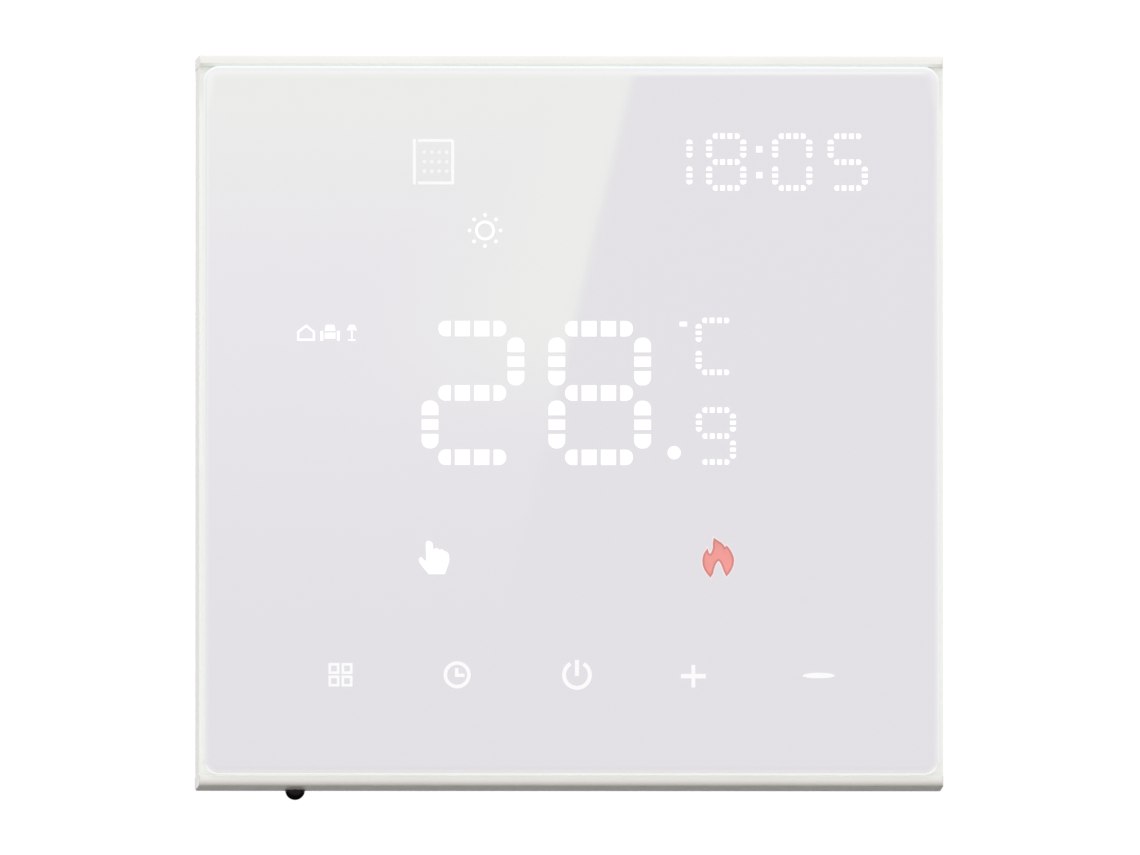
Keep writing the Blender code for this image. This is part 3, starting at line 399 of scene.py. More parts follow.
def add_piece(name, bm, finish, body, sharp=SHARP):
    """A new piece, smooth except at edges sharper than the given angle."""
    bmesh.ops.recalc_face_normals(bm, faces=bm.faces)
    mesh = mesh_of(name, bm)
    mesh.materials.append(FINISHES[finish].material)
    shade_smooth(mesh, sharp)
    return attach(placed(name, mesh), body)


def drawn(*shapes):
    """A mesh in the making, from (function, arguments...) shapes."""
    bm = bmesh.new()
    for make, *arguments in shapes:
        make(bm, *arguments)
    return bm


def box(bm, low, high):
    made = bmesh.ops.create_cube(bm, size=1.0)["verts"]
    low, high = Vector(low), Vector(high)
    bmesh.ops.scale(bm, vec=high - low, verts=made)
    bmesh.ops.translate(bm, vec=(low + high) / 2, verts=made)


def loft(bm, rings):
    """Joins rings of points into one closed skin, with a face on each end."""
    made = [[bm.verts.new(point) for point in ring] for ring in rings]
    for first, second in zip(made, made[1:]):
        for i in range(len(first)):
            j = (i + 1) % len(first)
            bm.faces.new((first[i], first[j], second[j], second[i]))
    bm.faces.new(made[0][::-1])
    bm.faces.new(made[-1])


def rounded_outline(half_x, half_z, corner, steps=10):
    points = []
    for quarter, (sx, sz) in enumerate(((1, 1), (-1, 1), (-1, -1), (1, -1))):
        for i in range(steps + 1):
            angle = math.radians(90 * (quarter + i / steps))
            x = sx * (half_x - corner) + corner * math.cos(angle)
            points.append((x, sz * (half_z - corner) + corner * math.sin(angle)))
    return points


LEAST_CORNER = 0.00008


def slab(bm, half_x, half_z, corner, profile):
    """A rounded block along Y. The profile gives (y, inset) from its front to its back, or
    (y, inset in X, inset in Z)."""
    rings = []
    for y, *insets in profile:
        in_x, in_z = insets[0], insets[-1]
        outline = rounded_outline(half_x - in_x, half_z - in_z, max(corner - in_x, LEAST_CORNER))
        rings.append([(x, y, z) for x, z in outline])
    loft(bm, rings)


def nose(front, reach_in, reach_back, steps=8):
    """(y, inset) points of a rounded front edge, from the face to the side."""
    turn = [math.pi / 2 * i / steps for i in range(steps + 1)]
    return [(front + reach_back * (1 - math.cos(a)), reach_in * (1 - math.sin(a))) for a in turn]


def full_turn(steps):
    return [2 * math.pi * i / steps for i in range(steps)]


def rod(bm, x, z, ends, radius, steps=40):
    """A rod along Y."""
    outline = [(x + radius * math.cos(a), z + radius * math.sin(a)) for a in full_turn(steps)]
    loft(bm, [[(a, y, b) for a, b in outline] for y in ends])


def mirrored(x, z):
    return [(sx * x, sz * z) for sx in (-1, 1) for sz in (-1, 1)]


def carve(target, bm, operation="DIFFERENCE"):
    """Cuts a shape from a piece, or joins it on, and keeps the result as the piece's mesh."""
    bmesh.ops.recalc_face_normals(bm, faces=bm.faces)
    cutter = placed("tool", mesh_of("tool", bm))
    step = target.modifiers.new("carve", "BOOLEAN")
    step.operation, step.object = operation, cutter
    settle(target)
    bpy.data.objects.remove(cutter)


def settle(target):
    """Applies a piece's modifiers."""
    bpy.context.view_layer.update()
    evaluated = target.evaluated_get(bpy.context.evaluated_depsgraph_get())
    mesh = bpy.data.meshes.new_from_object(evaluated)
    target.modifiers.clear()
    target.data = mesh


def keep_flat(target):
    """Keeps a piece's flat faces flat in the shading."""
    weighted = target.modifiers.new("flat_faces", "WEIGHTED_NORMAL")
    weighted.keep_sharp = True


def soften(target, width, segments=2, angle=SHARP):
    """Rounds a piece's sharp edges, and keeps its flat faces flat in the shading."""
    bevel = target.modifiers.new("edge_rounding", "BEVEL")
    bevel.width, bevel.segments = width, segments
    bevel.limit_method, bevel.angle_limit = "ANGLE", math.radians(angle)
    keep_flat(target)


def flatten_facets(target):
    """Joins a piece's coplanar faces, so that edges can be rounded evenly."""
    bm = bmesh.new()
    bm.from_mesh(target.data)
    bmesh.ops.remove_doubles(bm, verts=bm.verts, dist=1e-6)
    bmesh.ops.dissolve_limit(bm, angle_limit=math.radians(0.4), verts=bm.verts, edges=bm.edges)
    bm.to_mesh(target.data)
    bm.free()
    shade_smooth(target.data)


# ---- front ---------------------------------------------------------------------------------


def glass_panel():
    profile = nose(GLASS_FACE, GLASS_EDGE_IN, GLASS_EDGE_BACK, 12)
    profile += [(GLASS_HIGH.y - BACK_CHAMFER, 0.0), (GLASS_HIGH.y, BACK_CHAMFER)]
    skin = drawn((slab, GLASS_X, GLASS_Z, GLASS_CORNER, profile))
    made = add_piece("glass_panel", skin, "white_glass", FRONT, 50.0)
    keep_flat(made)
    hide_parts("front_glass")


def frame_block():
    """The frame as a solid block, with its rails' nose and its draft."""
    lean, profile = FRAME_DEPTH * DRAFT, []
    for y, inset in nose(RAIL_FRONT, RAIL_NOSE, RAIL_NOSE):
        profile.append((y, inset * SIDE_NOSE / RAIL_NOSE + lean, inset + lean))
    profile += [(BEZEL_HIGH.y - BACK_CHAMFER, BACK_CHAMFER * DRAFT), (BEZEL_HIGH.y, BACK_CHAMFER)]
    skin = drawn((slab, BEZEL_HIGH.x, BEZEL_HIGH.z, FRAME_CORNER, profile))
    return add_piece("front_frame", skin, "bezel_plastic", FRONT)


def open_front(made):
    """Cuts the glass's pocket, lowers the side strips, and slants the rails' lips."""
    x, z = POCKET
    carve(made, drawn((box, (-BEYOND, -BEYOND, -z), (BEYOND, STRIP_FRONT, z))))
    depth = [(-BEYOND, 0.0), (SEAT[0], 0.0)]
    carve(made, drawn((slab, x, z - 0.000002, GLASS_CORNER - OVERLAP, depth)))
    outer = BEZEL_HIGH.x - STRIP_STEP
    front = outer - FRAME_DEPTH * DRAFT
    section = [(front, RAIL_FRONT), (BEYOND / 2, RAIL_FRONT)]
    section += [(BEYOND / 2, BEZEL_HIGH.y), (outer, BEZEL_HIGH.y)]
    for side in (-1, 1):
        rings = [[(side * sx, y, level) for sx, y in section] for level in (-z, z)]
        carve(made, drawn((loft, rings)))
    for side, reach in FLARES:
        near, far = side * (z - BITE), side * (z + reach + MM)
        section = [(RAIL_FRONT - MM, near), (RAIL_FRONT - MM, far)]
        section += [(RAIL_FRONT + reach + BITE, near)]
        rings = [[(edge, y, level) for y, level in section] for edge in (-BEYOND, BEYOND)]
        carve(made, drawn((loft, rings)))


def fit_back(made):
    """Hollows the frame, and adds its screw bosses and legs."""
    for (x, z), front in ((CAVITY, SEAT[1]), (WINDOW, -BEYOND / 2)):
        depth = [(front, 0.0), (BEYOND / 2, 0.0)]
        carve(made, drawn((slab, x, z, HOLLOW_CORNER, depth)))
    posts = [(rod, x, z, (SEAT[1] - ROOT, BOSS_END), BOSS_RADIUS) for x, z in mirrored(*BOSS)]
    for sx, sz in mirrored(1, 1):
        x, z = sorted(sx * v for v in LEG_X), sorted(sz * v for v in LEG_Z)
        posts.append((box, (x[0], SEAT[1] - ROOT, z[0]), (x[1], LEG_END, z[1])))
    carve(made, drawn(*posts), "UNION")
    depth = (PILOT_FLOOR, BEYOND / 10)
    pilots = [(rod, x, z, depth, PILOT_RADIUS, 24) for x, z in mirrored(*BOSS)]
    carve(made, drawn(*pilots))
    centre = (SENSOR_LOW + SENSOR_HIGH) / 2
    radius = (SENSOR_HIGH.x - SENSOR_LOW.x) / 2 + SENSOR_GAP
    hole = bmesh.new()
    bmesh.ops.create_cone(
        hole,
        cap_ends=True,
        segments=48,
        radius1=radius,
        radius2=radius,
        depth=0.008,
        matrix=Matrix.Translation((centre.x, centre.y, BEZEL_LOW.z)),
    )
    carve(made, hole)


def front_frame():
    made = frame_block()
    open_front(made)
    fit_back(made)
    flatten_facets(made)
    soften(made, 0.00009, 2, 50.0)
    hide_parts("front_bezel")


def sensor_bead():
    """A dipped bead: a stretched sphere, a little slumped."""
    low, high = SENSOR_LOW, SENSOR_HIGH
    radius, centre = (high.x - low.x) / 2, (low + high) / 2
    bm = bmesh.new()
    bmesh.ops.create_uvsphere(bm, u_segments=40, v_segments=24, radius=radius)
    stretch = (high.z - low.z) / 2 - radius
    for vert in bm.verts:
        if abs(vert.co.z) > radius * 0.01:
            vert.co.z += math.copysign(stretch, vert.co.z)
        slump = 1 + 0.02 * math.sin(3 * math.atan2(vert.co.y, vert.co.x)) * vert.co.z / high.z
        vert.co.x *= min(slump, 1.0)
        vert.co += centre
    made = add_piece("sensor_bead", bm, "sensor_epoxy", FRONT, 60.0)
    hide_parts("air_sensor")


# ---- what lights up on the glass -----------------------------------------------------------

# The marks are drawn in millimetres from the panel's centre, and stand just proud of the glass
PRINT_FRONT = GLASS_FACE - 0.00002
PRINT_BACK = GLASS_FACE + 0.00003
LEAST_MITRE = 0.35


def fill(bm, points, front=PRINT_FRONT, back=PRINT_BACK):
    """A flat shape with the outline given by (x, z) points in millimetres."""
    loft(bm, [[(x * MM, y, z * MM) for x, z in points] for y in (front, back)])


def stroke(bm, points, width, closed=False, front=PRINT_FRONT, back=PRINT_BACK):
    """A line of even width along (x, z) points in millimetres, with mitred turns."""
    path = [Vector(p) for p in points]
    count = len(path)
    left, right = [], []
    for i, here in enumerate(path):
        before = path[i - 1] if closed or i else here
        after = path[(i + 1) % count] if closed or i < count - 1 else here
        along = [(b - a).normalized() for a, b in ((before, here), (here, after)) if (b - a).length]
        mean = sum(along, Vector((0, 0))).normalized()
        out = Vector((-mean.y, mean.x)) * (width / 2 / max(mean.dot(along[0]), LEAST_MITRE))
        left.append(here + out)
        right.append(here - out)
    if not closed:
        fill(bm, left + right[::-1], front, back)
        return
    layers = [
        [bm.verts.new((p.x * MM, y, p.y * MM)) for p in side]
        for side, y in ((left, front), (left, back), (right, back), (right, front))
    ]
    for i in range(count):
        j = (i + 1) % count
        for a, b in zip(layers, layers[1:] + layers[:1]):
            bm.faces.new((a[i], a[j], b[j], b[i]))


def arc(centre, radius, start, end, steps=32):
    """(x, z) points on a circle, with angles in degrees from +X towards +Z."""
    turn = [math.radians(start + (end - start) * i / steps) for i in range(steps + 1)]
    return [(centre[0] + radius * math.cos(a), centre[1] + radius * math.sin(a)) for a in turn]


def ring(bm, centre, radius, width, steps=48):
    stroke(bm, arc(centre, radius, 0, 360, steps)[:-1], width, closed=True)


def block(bm, x, z, length, width, upright=False, round_ends=()):
    """One cell of a digit's segment. A rounded end is at -1 or 1 along the cell's length."""
    small, half = 0.06, width / 2
    outline = []
    for quarter, (end, side) in enumerate(((1, 1), (-1, 1), (-1, -1), (1, -1))):
        corner = half * 0.92 if end in round_ends else small
        centre = (end * (length / 2 - corner), side * (half - corner))
        steps = 8 if end in round_ends else 2
        outline += arc(centre, corner, 90 * quarter, 90 * quarter + 90, steps)
    if upright:
        outline = [(-b, a) for a, b in outline]
    fill(bm, [(x + a, z + b) for a, b in outline])


# A digit's segments, in the usual order: top, right side, bottom, left side, middle
SEGMENTS = {
    "0": "abcdef",
    "1": "bc",
    "2": "abged",
    "5": "afgcd",
    "8": "abcdefg",
    "9": "abcdfg",
    "C": "adef",
}

# The two digit sizes, in millimetres: the cells' lengths, the gap between them and their widths
BIG = {
    "size": (11.78, 16.54),
    "across": (1.41, 1.73, 1.75, 1.45),
    "upright": (1.66, 1.19, 1.69),
    "gap": 0.48,
    "thick": (1.78, 1.93),
    "top": 1.90,
    "shift": -0.08,
}
SMALL = {
    "size": (4.62, 6.60),
    "across": (0.57, 0.57, 0.57, 0.57),
    "upright": (0.52, 0.47, 0.52),
    "gap": 0.28,
    "thick": (0.64, 0.70),
    "top": 0.72,
    "shift": 0.0,
}


def cells(bm, centre, lengths, gap, thick, upright):
    """A row of cells about a centre. The outer ends of the first and the last are rounded."""
    x, z = centre
    at = -(sum(lengths) + gap * (len(lengths) - 1)) / 2
    for i, length in enumerate(lengths):
        ends = [e for e, outer in ((-1, i == 0), (1, i == len(lengths) - 1)) if outer]
        along = at + length / 2
        spot = (x, z + along) if upright else (x + along, z)
        block(bm, *spot, length, thick, upright, ends)
        at += length + gap


def digit(name, figure, centre, form):
    x, z = centre
    width, height = form["size"]
    flat, upright = form["thick"]
    half_run = (width - upright) / 2
    level = (height - flat) / 2
    tall = sum(form["upright"]) + form["gap"] * (len(form["upright"]) - 1)
    middle = height / 2 - form["top"] - tall / 2
    shift = form["shift"]
    places = {
        "a": (shift, level, False),
        "g": (shift, 0, False),
        "d": (shift, -level, False),
        "b": (half_run, middle, True),
        "c": (half_run, -middle, True),
        "f": (-half_run, middle, True),
        "e": (-half_run, -middle, True),
    }
    bm = bmesh.new()
    for segment in SEGMENTS[figure]:
        dx, dz, stands = places[segment]
        lengths = form["upright"] if stands else form["across"]
        thick = upright if stands else flat
        cells(bm, (x + dx, z + dz), lengths, form["gap"], thick, stands)
    add_piece(name, bm, "lit_white", FRONT)


def lit_piece(name, finish, *shapes):
    """A lit mark from (function, arguments...) shapes."""
    add_piece(name, drawn(*shapes), finish, FRONT)


def dot(bm, x, z, radius):
    fill(bm, arc((x, z), radius, 0, 360, 32)[:-1])


def rectangle(x0, z0, x1, z1):
    return [(x0, z0), (x1, z0), (x1, z1), (x0, z1)]


def smooth_outline(points, tips=(), steps=5):
    """A closed curve through points, which turns sharply only at the tips."""
    count, out = len(points), []
    for i in range(count):
        p0, p1, p2, p3 = (Vector(points[(i + k) % count]) for k in (-1, 0, 1, 2))
        if i in tips:
            p0 = p1
        if (i + 1) % count in tips:
            p3 = p2
        for s in range(steps):
            t = s / steps
            pull = (2 * p0 - 5 * p1 + 4 * p2 - p3) * t * t + (3 * (p1 - p2) + p3 - p0) * t**3
            out.append(tuple((2 * p1 + (p2 - p0) * t + pull) / 2))
    return out


CLOCK = (("hours_tens", "1", 11.58), ("hours", "8", 17.76))
CLOCK += (("minutes_tens", "0", 25.34), ("minutes", "5", 31.71))
CLOCK_Z = 29.69
COLON_X, COLON_Z, COLON_HALF = 21.56, (31.15, 28.18), 0.36


def clock_digits():
    for label, figure, x in CLOCK:
        digit(f"clock_{label}", figure, (x, CLOCK_Z), SMALL)
    x, half = COLON_X, COLON_HALF
    dots = [(fill, rectangle(x - half, z - half, x + half, z + half)) for z in COLON_Z]
    lit_piece("clock_colon", "lit_white", *dots)


def temperature():
    digit("temperature_tens", "2", (-11.30, 3.15), BIG)
    digit("temperature_ones", "8", (3.24, 3.15), BIG)
    lit_piece("decimal_point", "lit_white", (dot, 11.78, -3.69, 0.77))
    digit("temperature_tenths", "9", (16.57, -1.78), SMALL)
    digit("unit_letter", "C", (16.55, 8.52), SMALL)
    lit_piece("degree_mark", "lit_white", (fill, rectangle(12.40, 10.80, 13.27, 11.36)))


def day_mark():
    """A calendar page: an open frame with faint rows of days."""
    x, z, wide, high, line, corner, slit = -15.83, 29.68, 4.74, 5.22, 0.34, 0.35, 0.28
    left, right, low, top = x - wide / 2, x + wide / 2, z - high / 2, z + high / 2
    start = left + line + slit
    frame_line = [(start, top - line / 2)]
    frame_line += arc((right - corner, top - corner), corner - line / 2, 90, 0, 4)
    frame_line += [(right - line / 2, low + line / 2), (start, low + line / 2)]
    shapes = [(fill, rectangle(left, low, left + line, top)), (stroke, frame_line, line)]
    lit_piece("day_mark", "lit_keys", *shapes)
    days = [(x - 1.05 + day * 0.85, z + 1.1 - row * 1.1) for row in range(3) for day in range(4)]
    lit_piece("day_rows", "lit_faint", *[(dot, *at, 0.23) for at in days])


def sun_mark():
    x, z = -9.92, 21.80
    rays = [(dot, *point, 0.21) for point in arc((x, z), 1.78, 0, 315, 7)]
    lit_piece("sun_mark", "lit_white", (ring, (x, z), 0.98, 0.31), *rays)


def room_mark():
    """A house, an armchair and a floor lamp in a row."""
    x, z, line = -27.69, 10.03, 0.26
    low, eaves = z - 0.92, z + 0.10
    house = [(x - 3.65, low + 0.13), (x - 3.65, eaves), (x - 2.75, z + 0.80)]
    house += [(x - 1.85, eaves), (x - 1.85, low + 0.13)]
    seat = rectangle(x - 0.62, low + 0.25, x + 0.62, z + 0.02)
    back = [(x - 0.62, z + 0.22), (x + 0.62, z + 0.22), (x + 0.50, z + 0.92), (x - 0.50, z + 0.92)]
    arms = [rectangle(x + s * 0.95 - 0.17, low, x + s * 0.95 + 0.17, z + 0.22) for s in (-1, 1)]
    lamp = [(x + 1.90, z + 0.28), (x + 3.10, z + 0.28), (x + 2.80, z + 0.92), (x + 2.20, z + 0.92)]
    pole = rectangle(x + 2.41, low + 0.20, x + 2.59, z + 0.20)
    foot = rectangle(x + 2.05, low, x + 2.95, low + 0.18)
    shapes = [(stroke, house, line, True)]
    shapes += [(fill, shape) for shape in (seat, back, *arms, lamp, pole, foot)]
    lit_piece("room_mark", "lit_white", *shapes)


def hand_mark():
    points = [
        (-16.70, -14.09), (-16.32, -13.84), (-15.93, -14.12), (-15.84, -14.76), (-15.47, -14.64),
        (-15.15, -14.85), (-14.85, -14.78), (-14.53, -15.01), (-14.29, -15.10), (-14.05, -15.47),
        (-14.05, -16.26), (-14.52, -17.65), (-16.35, -17.65), (-17.08, -16.80), (-17.51, -16.10),
        (-17.24, -15.68), (-16.69, -16.07),
    ]  # fmt: skip
    lit_piece("hand_mark", "lit_white", (fill, smooth_outline(points, (11, 12))))


def flame_mark():
    points = [
        (16.41, -13.66), (16.74, -13.88), (17.08, -14.08), (17.36, -14.35), (17.53, -14.69),
        (17.80, -14.51), (18.04, -14.78), (18.27, -15.16), (18.46, -15.62), (18.53, -16.06),
        (18.45, -16.57), (18.27, -17.01), (18.04, -17.39), (17.80, -17.67), (17.59, -17.24),
        (17.43, -16.80), (17.27, -16.40), (17.08, -16.10), (16.87, -15.94), (16.65, -16.09),
        (16.46, -16.38), (16.31, -16.77), (16.20, -17.14), (16.11, -17.52), (15.93, -17.81),
        (15.64, -17.48), (15.36, -17.05), (15.18, -16.57), (15.14, -16.00), (15.22, -15.52),
        (15.39, -15.16), (15.55, -14.93), (15.67, -15.28), (15.88, -15.45), (16.09, -15.29),
        (16.26, -14.94), (16.36, -14.56), (16.34, -14.14),
    ]  # fmt: skip
    lit_piece("flame_mark", "lit_flame", (fill, points))
    layers = (("edge", 0.12, -0.00002), ("fade", 0.27, -0.00001), ("halo", 0.54, 0.00001))
    for label, width, raised in layers:
        line = (stroke, points, width, True, PRINT_FRONT + raised, PRINT_BACK)
        lit_piece(f"flame_{label}", f"lit_flame_{label}", line)


KEY_Z = -29.19
KEY_X = {"menu": -26.48, "clock": -13.11, "power": 0.63, "plus": 13.98, "minus": 28.35}


def key_marks():
    x, z = KEY_X["menu"], KEY_Z
    squares = []
    for dx, dz in mirrored(0.75, 0.72):
        corners = rectangle(x + dx - 0.48, z + dz - 0.48, x + dx + 0.48, z + dz + 0.48)
        squares.append((stroke, corners, 0.30, True))
    lit_piece("menu_key", "lit_keys", *squares)
    x = KEY_X["clock"]
    hands = [(x - 0.05, z + 0.78), (x - 0.05, z - 0.05), (x + 0.85, z - 0.05)]
    lit_piece("clock_key", "lit_keys", (ring, (x, z), 1.35, 0.42), (stroke, hands, 0.40))
    x, radius = KEY_X["power"], 1.48
    opening = math.degrees(math.asin(0.75 / radius))
    circle = arc((x, z), radius, 90 + opening, 450 - opening, 40)
    bar = rectangle(x - 0.24, z - 0.13, x + 0.24, z + 1.72)
    lit_piece("power_key", "lit_keys", (stroke, circle, 0.46), (fill, bar))
    x, low = KEY_X["plus"], z - 0.13
    arm, height, reach, thick = 0.22, 1.30, 1.43, 0.26
    plus = [(-arm, height), (-arm, thick), (-reach, thick), (-reach, -thick), (-arm, -thick)]
    plus += [(-arm, -height)]
    plus += [(-a, -b) for a, b in plus]
    lit_piece("plus_key", "lit_keys", (fill, [(x + a, low + b) for a, b in plus]))
    x, low = KEY_X["minus"], z - 0.04
    lens = [(-1.9, -0.10), (-0.9, -0.30), (0.9, -0.30), (1.9, -0.10)]
    lens += [(1.5, 0.18), (0, 0.32), (-1.5, 0.18)]
    minus = smooth_outline([(x + a, low + b) for a, b in lens], (0, 3))
    lit_piece("minus_key", "lit_keys", (fill, minus))


# ---- screws --------------------------------------------------------------------------------


def turned(bm, profile, steps=40):
    """A closed skin about the Y axis from (radius, y) points."""
    turn = full_turn(steps)
    loft(bm, [[(r * math.cos(a), y, r * math.sin(a)) for a in turn] for r, y in profile])


THREAD_DEPTH, THREAD_PITCH, THREAD_TIP = 0.18, 0.62, 1.6  # in shank radii
THREAD_START = -0.0001
POINT_SHARE = 0.35


def threaded(bm, radius, length):
    """A screw's shank along +Y: a helical ridge, which runs out into a point."""
    depth, pitch, tip = (radius * share for share in (THREAD_DEPTH, THREAD_PITCH, THREAD_TIP))
    around = 18
    steps = int(length / pitch * 6)
    rings = []
    for k in range(steps + 1):
        y = length * k / steps
        narrow = min(1.0, POINT_SHARE + (1 - POINT_SHARE) * (length - y) / tip)
        points = []
        for i in range(around):
            angle = 2 * math.pi * i / around
            phase = (y / pitch - i / around) % 1.0
            size = (radius - depth * abs(2 * phase - 1)) * narrow
            points.append((size * math.cos(angle), y + THREAD_START, size * math.sin(angle)))
        rings.append(points)
    loft(bm, rings)


SLOT_REACH, SLOT_DEPTH = 0.62, 0.6  # in head radii and head heights
HEAD_CHAMFER = 0.00015


def screw_mesh(name, head, shank, slot, dome):
    """A cross-slotted screw along +Y from under its head."""
    (head_radius, head_height), (radius, length) = head, shank
    rim = head_height - dome
    profile = [(0.0002, -head_height)]
    for i in range(1, 9):
        angle = math.pi / 2 * i / 8
        profile.append((head_radius * math.sin(angle), -rim - dome * math.cos(angle)))
    profile += [(head_radius, -HEAD_CHAMFER), (head_radius - HEAD_CHAMFER, 0.0)]
    profile += [(radius * 0.8, 0.0)]
    made = add_piece(name, drawn((turned, profile)), "zinc_screw", BASE)
    reach, half = head_radius * SLOT_REACH, slot / 2
    low, high = -head_height - MM, -head_height + head_height * SLOT_DEPTH
    for x, z in ((reach, half), (half, reach)):
        carve(made, drawn((box, (-x, low, -z), (x, high, z))))
    mesh = made.data
    bpy.data.objects.remove(made)
    thread = drawn((threaded, radius, length))
    bmesh.ops.recalc_face_normals(thread, faces=thread.faces)
    whole = bmesh.new()
    whole.from_mesh(mesh)
    whole.from_mesh(mesh_of("thread", thread))
    whole.to_mesh(mesh)
    whole.free()
    shade_smooth(mesh)
    return mesh


def set_screws(mesh, nodes, head_height, body=None, faces_back=True):
    """Puts a fine screw in the place of each plain one. Without a body, each rides on its own."""
    for node in nodes:
        low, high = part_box(node)
        middle = (low + high) / 2
        under = high.y - head_height if faces_back else low.y + head_height
        made = placed(f"{node}_fine", mesh)
        made.location = (middle.x, under, middle.z)
        if faces_back:
            made.rotation_euler = (0.0, 0.0, math.pi)
        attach(made, body or node)
        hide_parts(node)


def all_screws():
    """Each size: head radius and height, shank radius and length, slot width, dome."""
    fixing = screw_mesh("fixing_screw", (0.0035, 0.0020), (0.0019, 0.0210), 0.0010, 0.0010)
    set_screws(fixing, ("mount_screw_left", "mount_screw_right"), 0.0020, BASE, False)
    small = screw_mesh("cover_screw", (0.0017, 0.0010), (0.0008, 0.0040), 0.0005, 0.0003)
    set_screws(small, [f"inner_cover_screw_{i}" for i in range(1, 5)], 0.0010, FRONT)
    clamp = screw_mesh("clamp_screw", (0.0021, 0.0016), (0.00125, 0.0049), 0.0007, 0.0002)
    set_screws(clamp, [f"terminal_screw_{i}" for i in range(1, 7)], 0.0016)


# ---- base ----------------------------------------------------------------------------------

NUMBER_STROKES = {
    1: [(0.0, -0.9), (0.0, 0.9), (-0.4, 0.5)],
    2: [(-0.5, 0.45), (-0.25, 0.9), (0.25, 0.9), (0.5, 0.45), (-0.5, -0.9), (0.5, -0.9)],
    3: [(-0.5, 0.9), (0.5, 0.9), (0.0, 0.15), (0.5, -0.35), (0.25, -0.9), (-0.5, -0.8)],
    4: [(0.25, -0.9), (0.25, 0.9), (-0.55, -0.35), (0.6, -0.35)],
    5: [(0.5, 0.9), (-0.4, 0.9), (-0.45, 0.1), (0.2, 0.2)]
    + [(0.5, -0.3), (0.1, -0.9), (-0.5, -0.8)],
    6: [(0.35, 0.9), (-0.4, 0.0), (-0.4, -0.6), (0.0, -0.9)]
    + [(0.45, -0.5), (0.1, 0.0), (-0.3, -0.2)],
}
NUMBER_DROP = 1.4  # below the block's top, in millimetres, as the sizes and line widths here are
NUMBER_SIZE = (0.8, 0.85)
NUMBER_LINE = 0.22
NUMBER_INK = 0.00006
SINK, INK = 0.00002, 0.00003


def terminal_numbers():
    """Plain numbers 1 to 6 printed over the terminals, as read from behind."""
    front, back = BLOCK_HIGH.y - SINK, BLOCK_HIGH.y + NUMBER_INK
    wide, tall = NUMBER_SIZE
    for number, points in NUMBER_STROKES.items():
        low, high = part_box(f"terminal_screw_{number}")
        x, z = (low.x + high.x) / 2 / MM, BLOCK_HIGH.z / MM - NUMBER_DROP
        path = [(x - a * wide, z + b * tall) for a, b in points]
        print_line = drawn((stroke, path, NUMBER_LINE, False, front, back))
        made = add_piece(f"terminal_number_{number}", print_line, "pad_print", BASE)


LABEL_HALF, LABEL_CORNER, LABEL_Z = (0.0190, 0.0120), 0.0010, 0.0085
BORDER_HALF, BORDER_CORNER = (0.0182, 0.0112), 0.0006
LABEL_FILM, LABEL_LINE = 0.00008, 0.24
POLE_X = [5.0 * (i - 2.5) for i in range(6)]
POLE_Z, POLE_TOP = 1.0, 2.0


def wiring_label():
    """A blank silver label on the housing's back, with a wiring diagram that has no words."""
    y = HOUSING_HIGH.y
    outline = rounded_outline(*LABEL_HALF, LABEL_CORNER, 6)
    levels = (y - SINK, y + LABEL_FILM)
    rings = [[(x, level, z + LABEL_Z) for x, z in outline] for level in levels]
    label = add_piece("wiring_label", drawn((loft, rings)), "label_film", BASE)
    bm = bmesh.new()

    def line(*points, closed=False):
        stroke(bm, points, LABEL_LINE, closed, y + LABEL_FILM - 0.00001, y + LABEL_FILM + INK)

    def resistor(x0, x1, z, half, low):
        """A rectangle between two leads that rise from low."""
        ends = (x0 + 1.2, x1 - 1.2)
        line((x0, low), (x0, z), (ends[0], z))
        line(*rectangle(ends[0], z - half, ends[1], z + half), closed=True)
        line((ends[1], z), (x1, z), (x1, POLE_TOP))

    border = rounded_outline(*BORDER_HALF, BORDER_CORNER, 4)
    line(*[(x / MM, (z + LABEL_Z) / MM) for x, z in border], closed=True)
    for x in POLE_X:
        line(*arc((x, POLE_Z), 1.0, 0, 360, 24)[:-1], closed=True)
    supply, load, sensor = POLE_X[0:2], POLE_X[2:4], POLE_X[4:6]
    for x in supply:
        line((x, POLE_TOP), (x, 8.0))
    ticks = [t / 20 for t in range(21)]
    line(*[(supply[0] + 0.6 + 3.8 * t, 9.6 + math.sin(2 * math.pi * t)) for t in ticks])
    line((load[0], POLE_TOP), (load[0], 6.0), (load[0] - 1.4, 9.2))
    resistor(*load, 15.0, 1.0, 9.6)
    resistor(*sensor, 11.0, 0.9, POLE_TOP)
    line((sensor[0] + 0.8, 9.2), (sensor[0] + 1.6, 9.2), (sensor[1] - 1.2, 12.8))
    diagram = add_piece("wiring_diagram", bm, "label_ink", BASE)


CLAMPS = [f"terminal_clamp_{i}" for i in range(1, 7)]

# How much the edges of carried-over nodes are rounded; the rest are left as they are
ROUNDED_EDGES = {
    0.00020: ["rear_housing", "transformer_core"],
    0.00015: ["inner_cover", "terminal_block"],
    0.00012: ["mounting_plate", "base_cover"],
    0.00010: ["board_socket"] + CLAMPS,
    0.00008: ["power_board", "display_board", "relay_armature", "relay_yoke"],
    0.00005: ["board_header"],
}
EDGE_WIDTH = {name: width for width, names in ROUNDED_EDGES.items() for name in names}

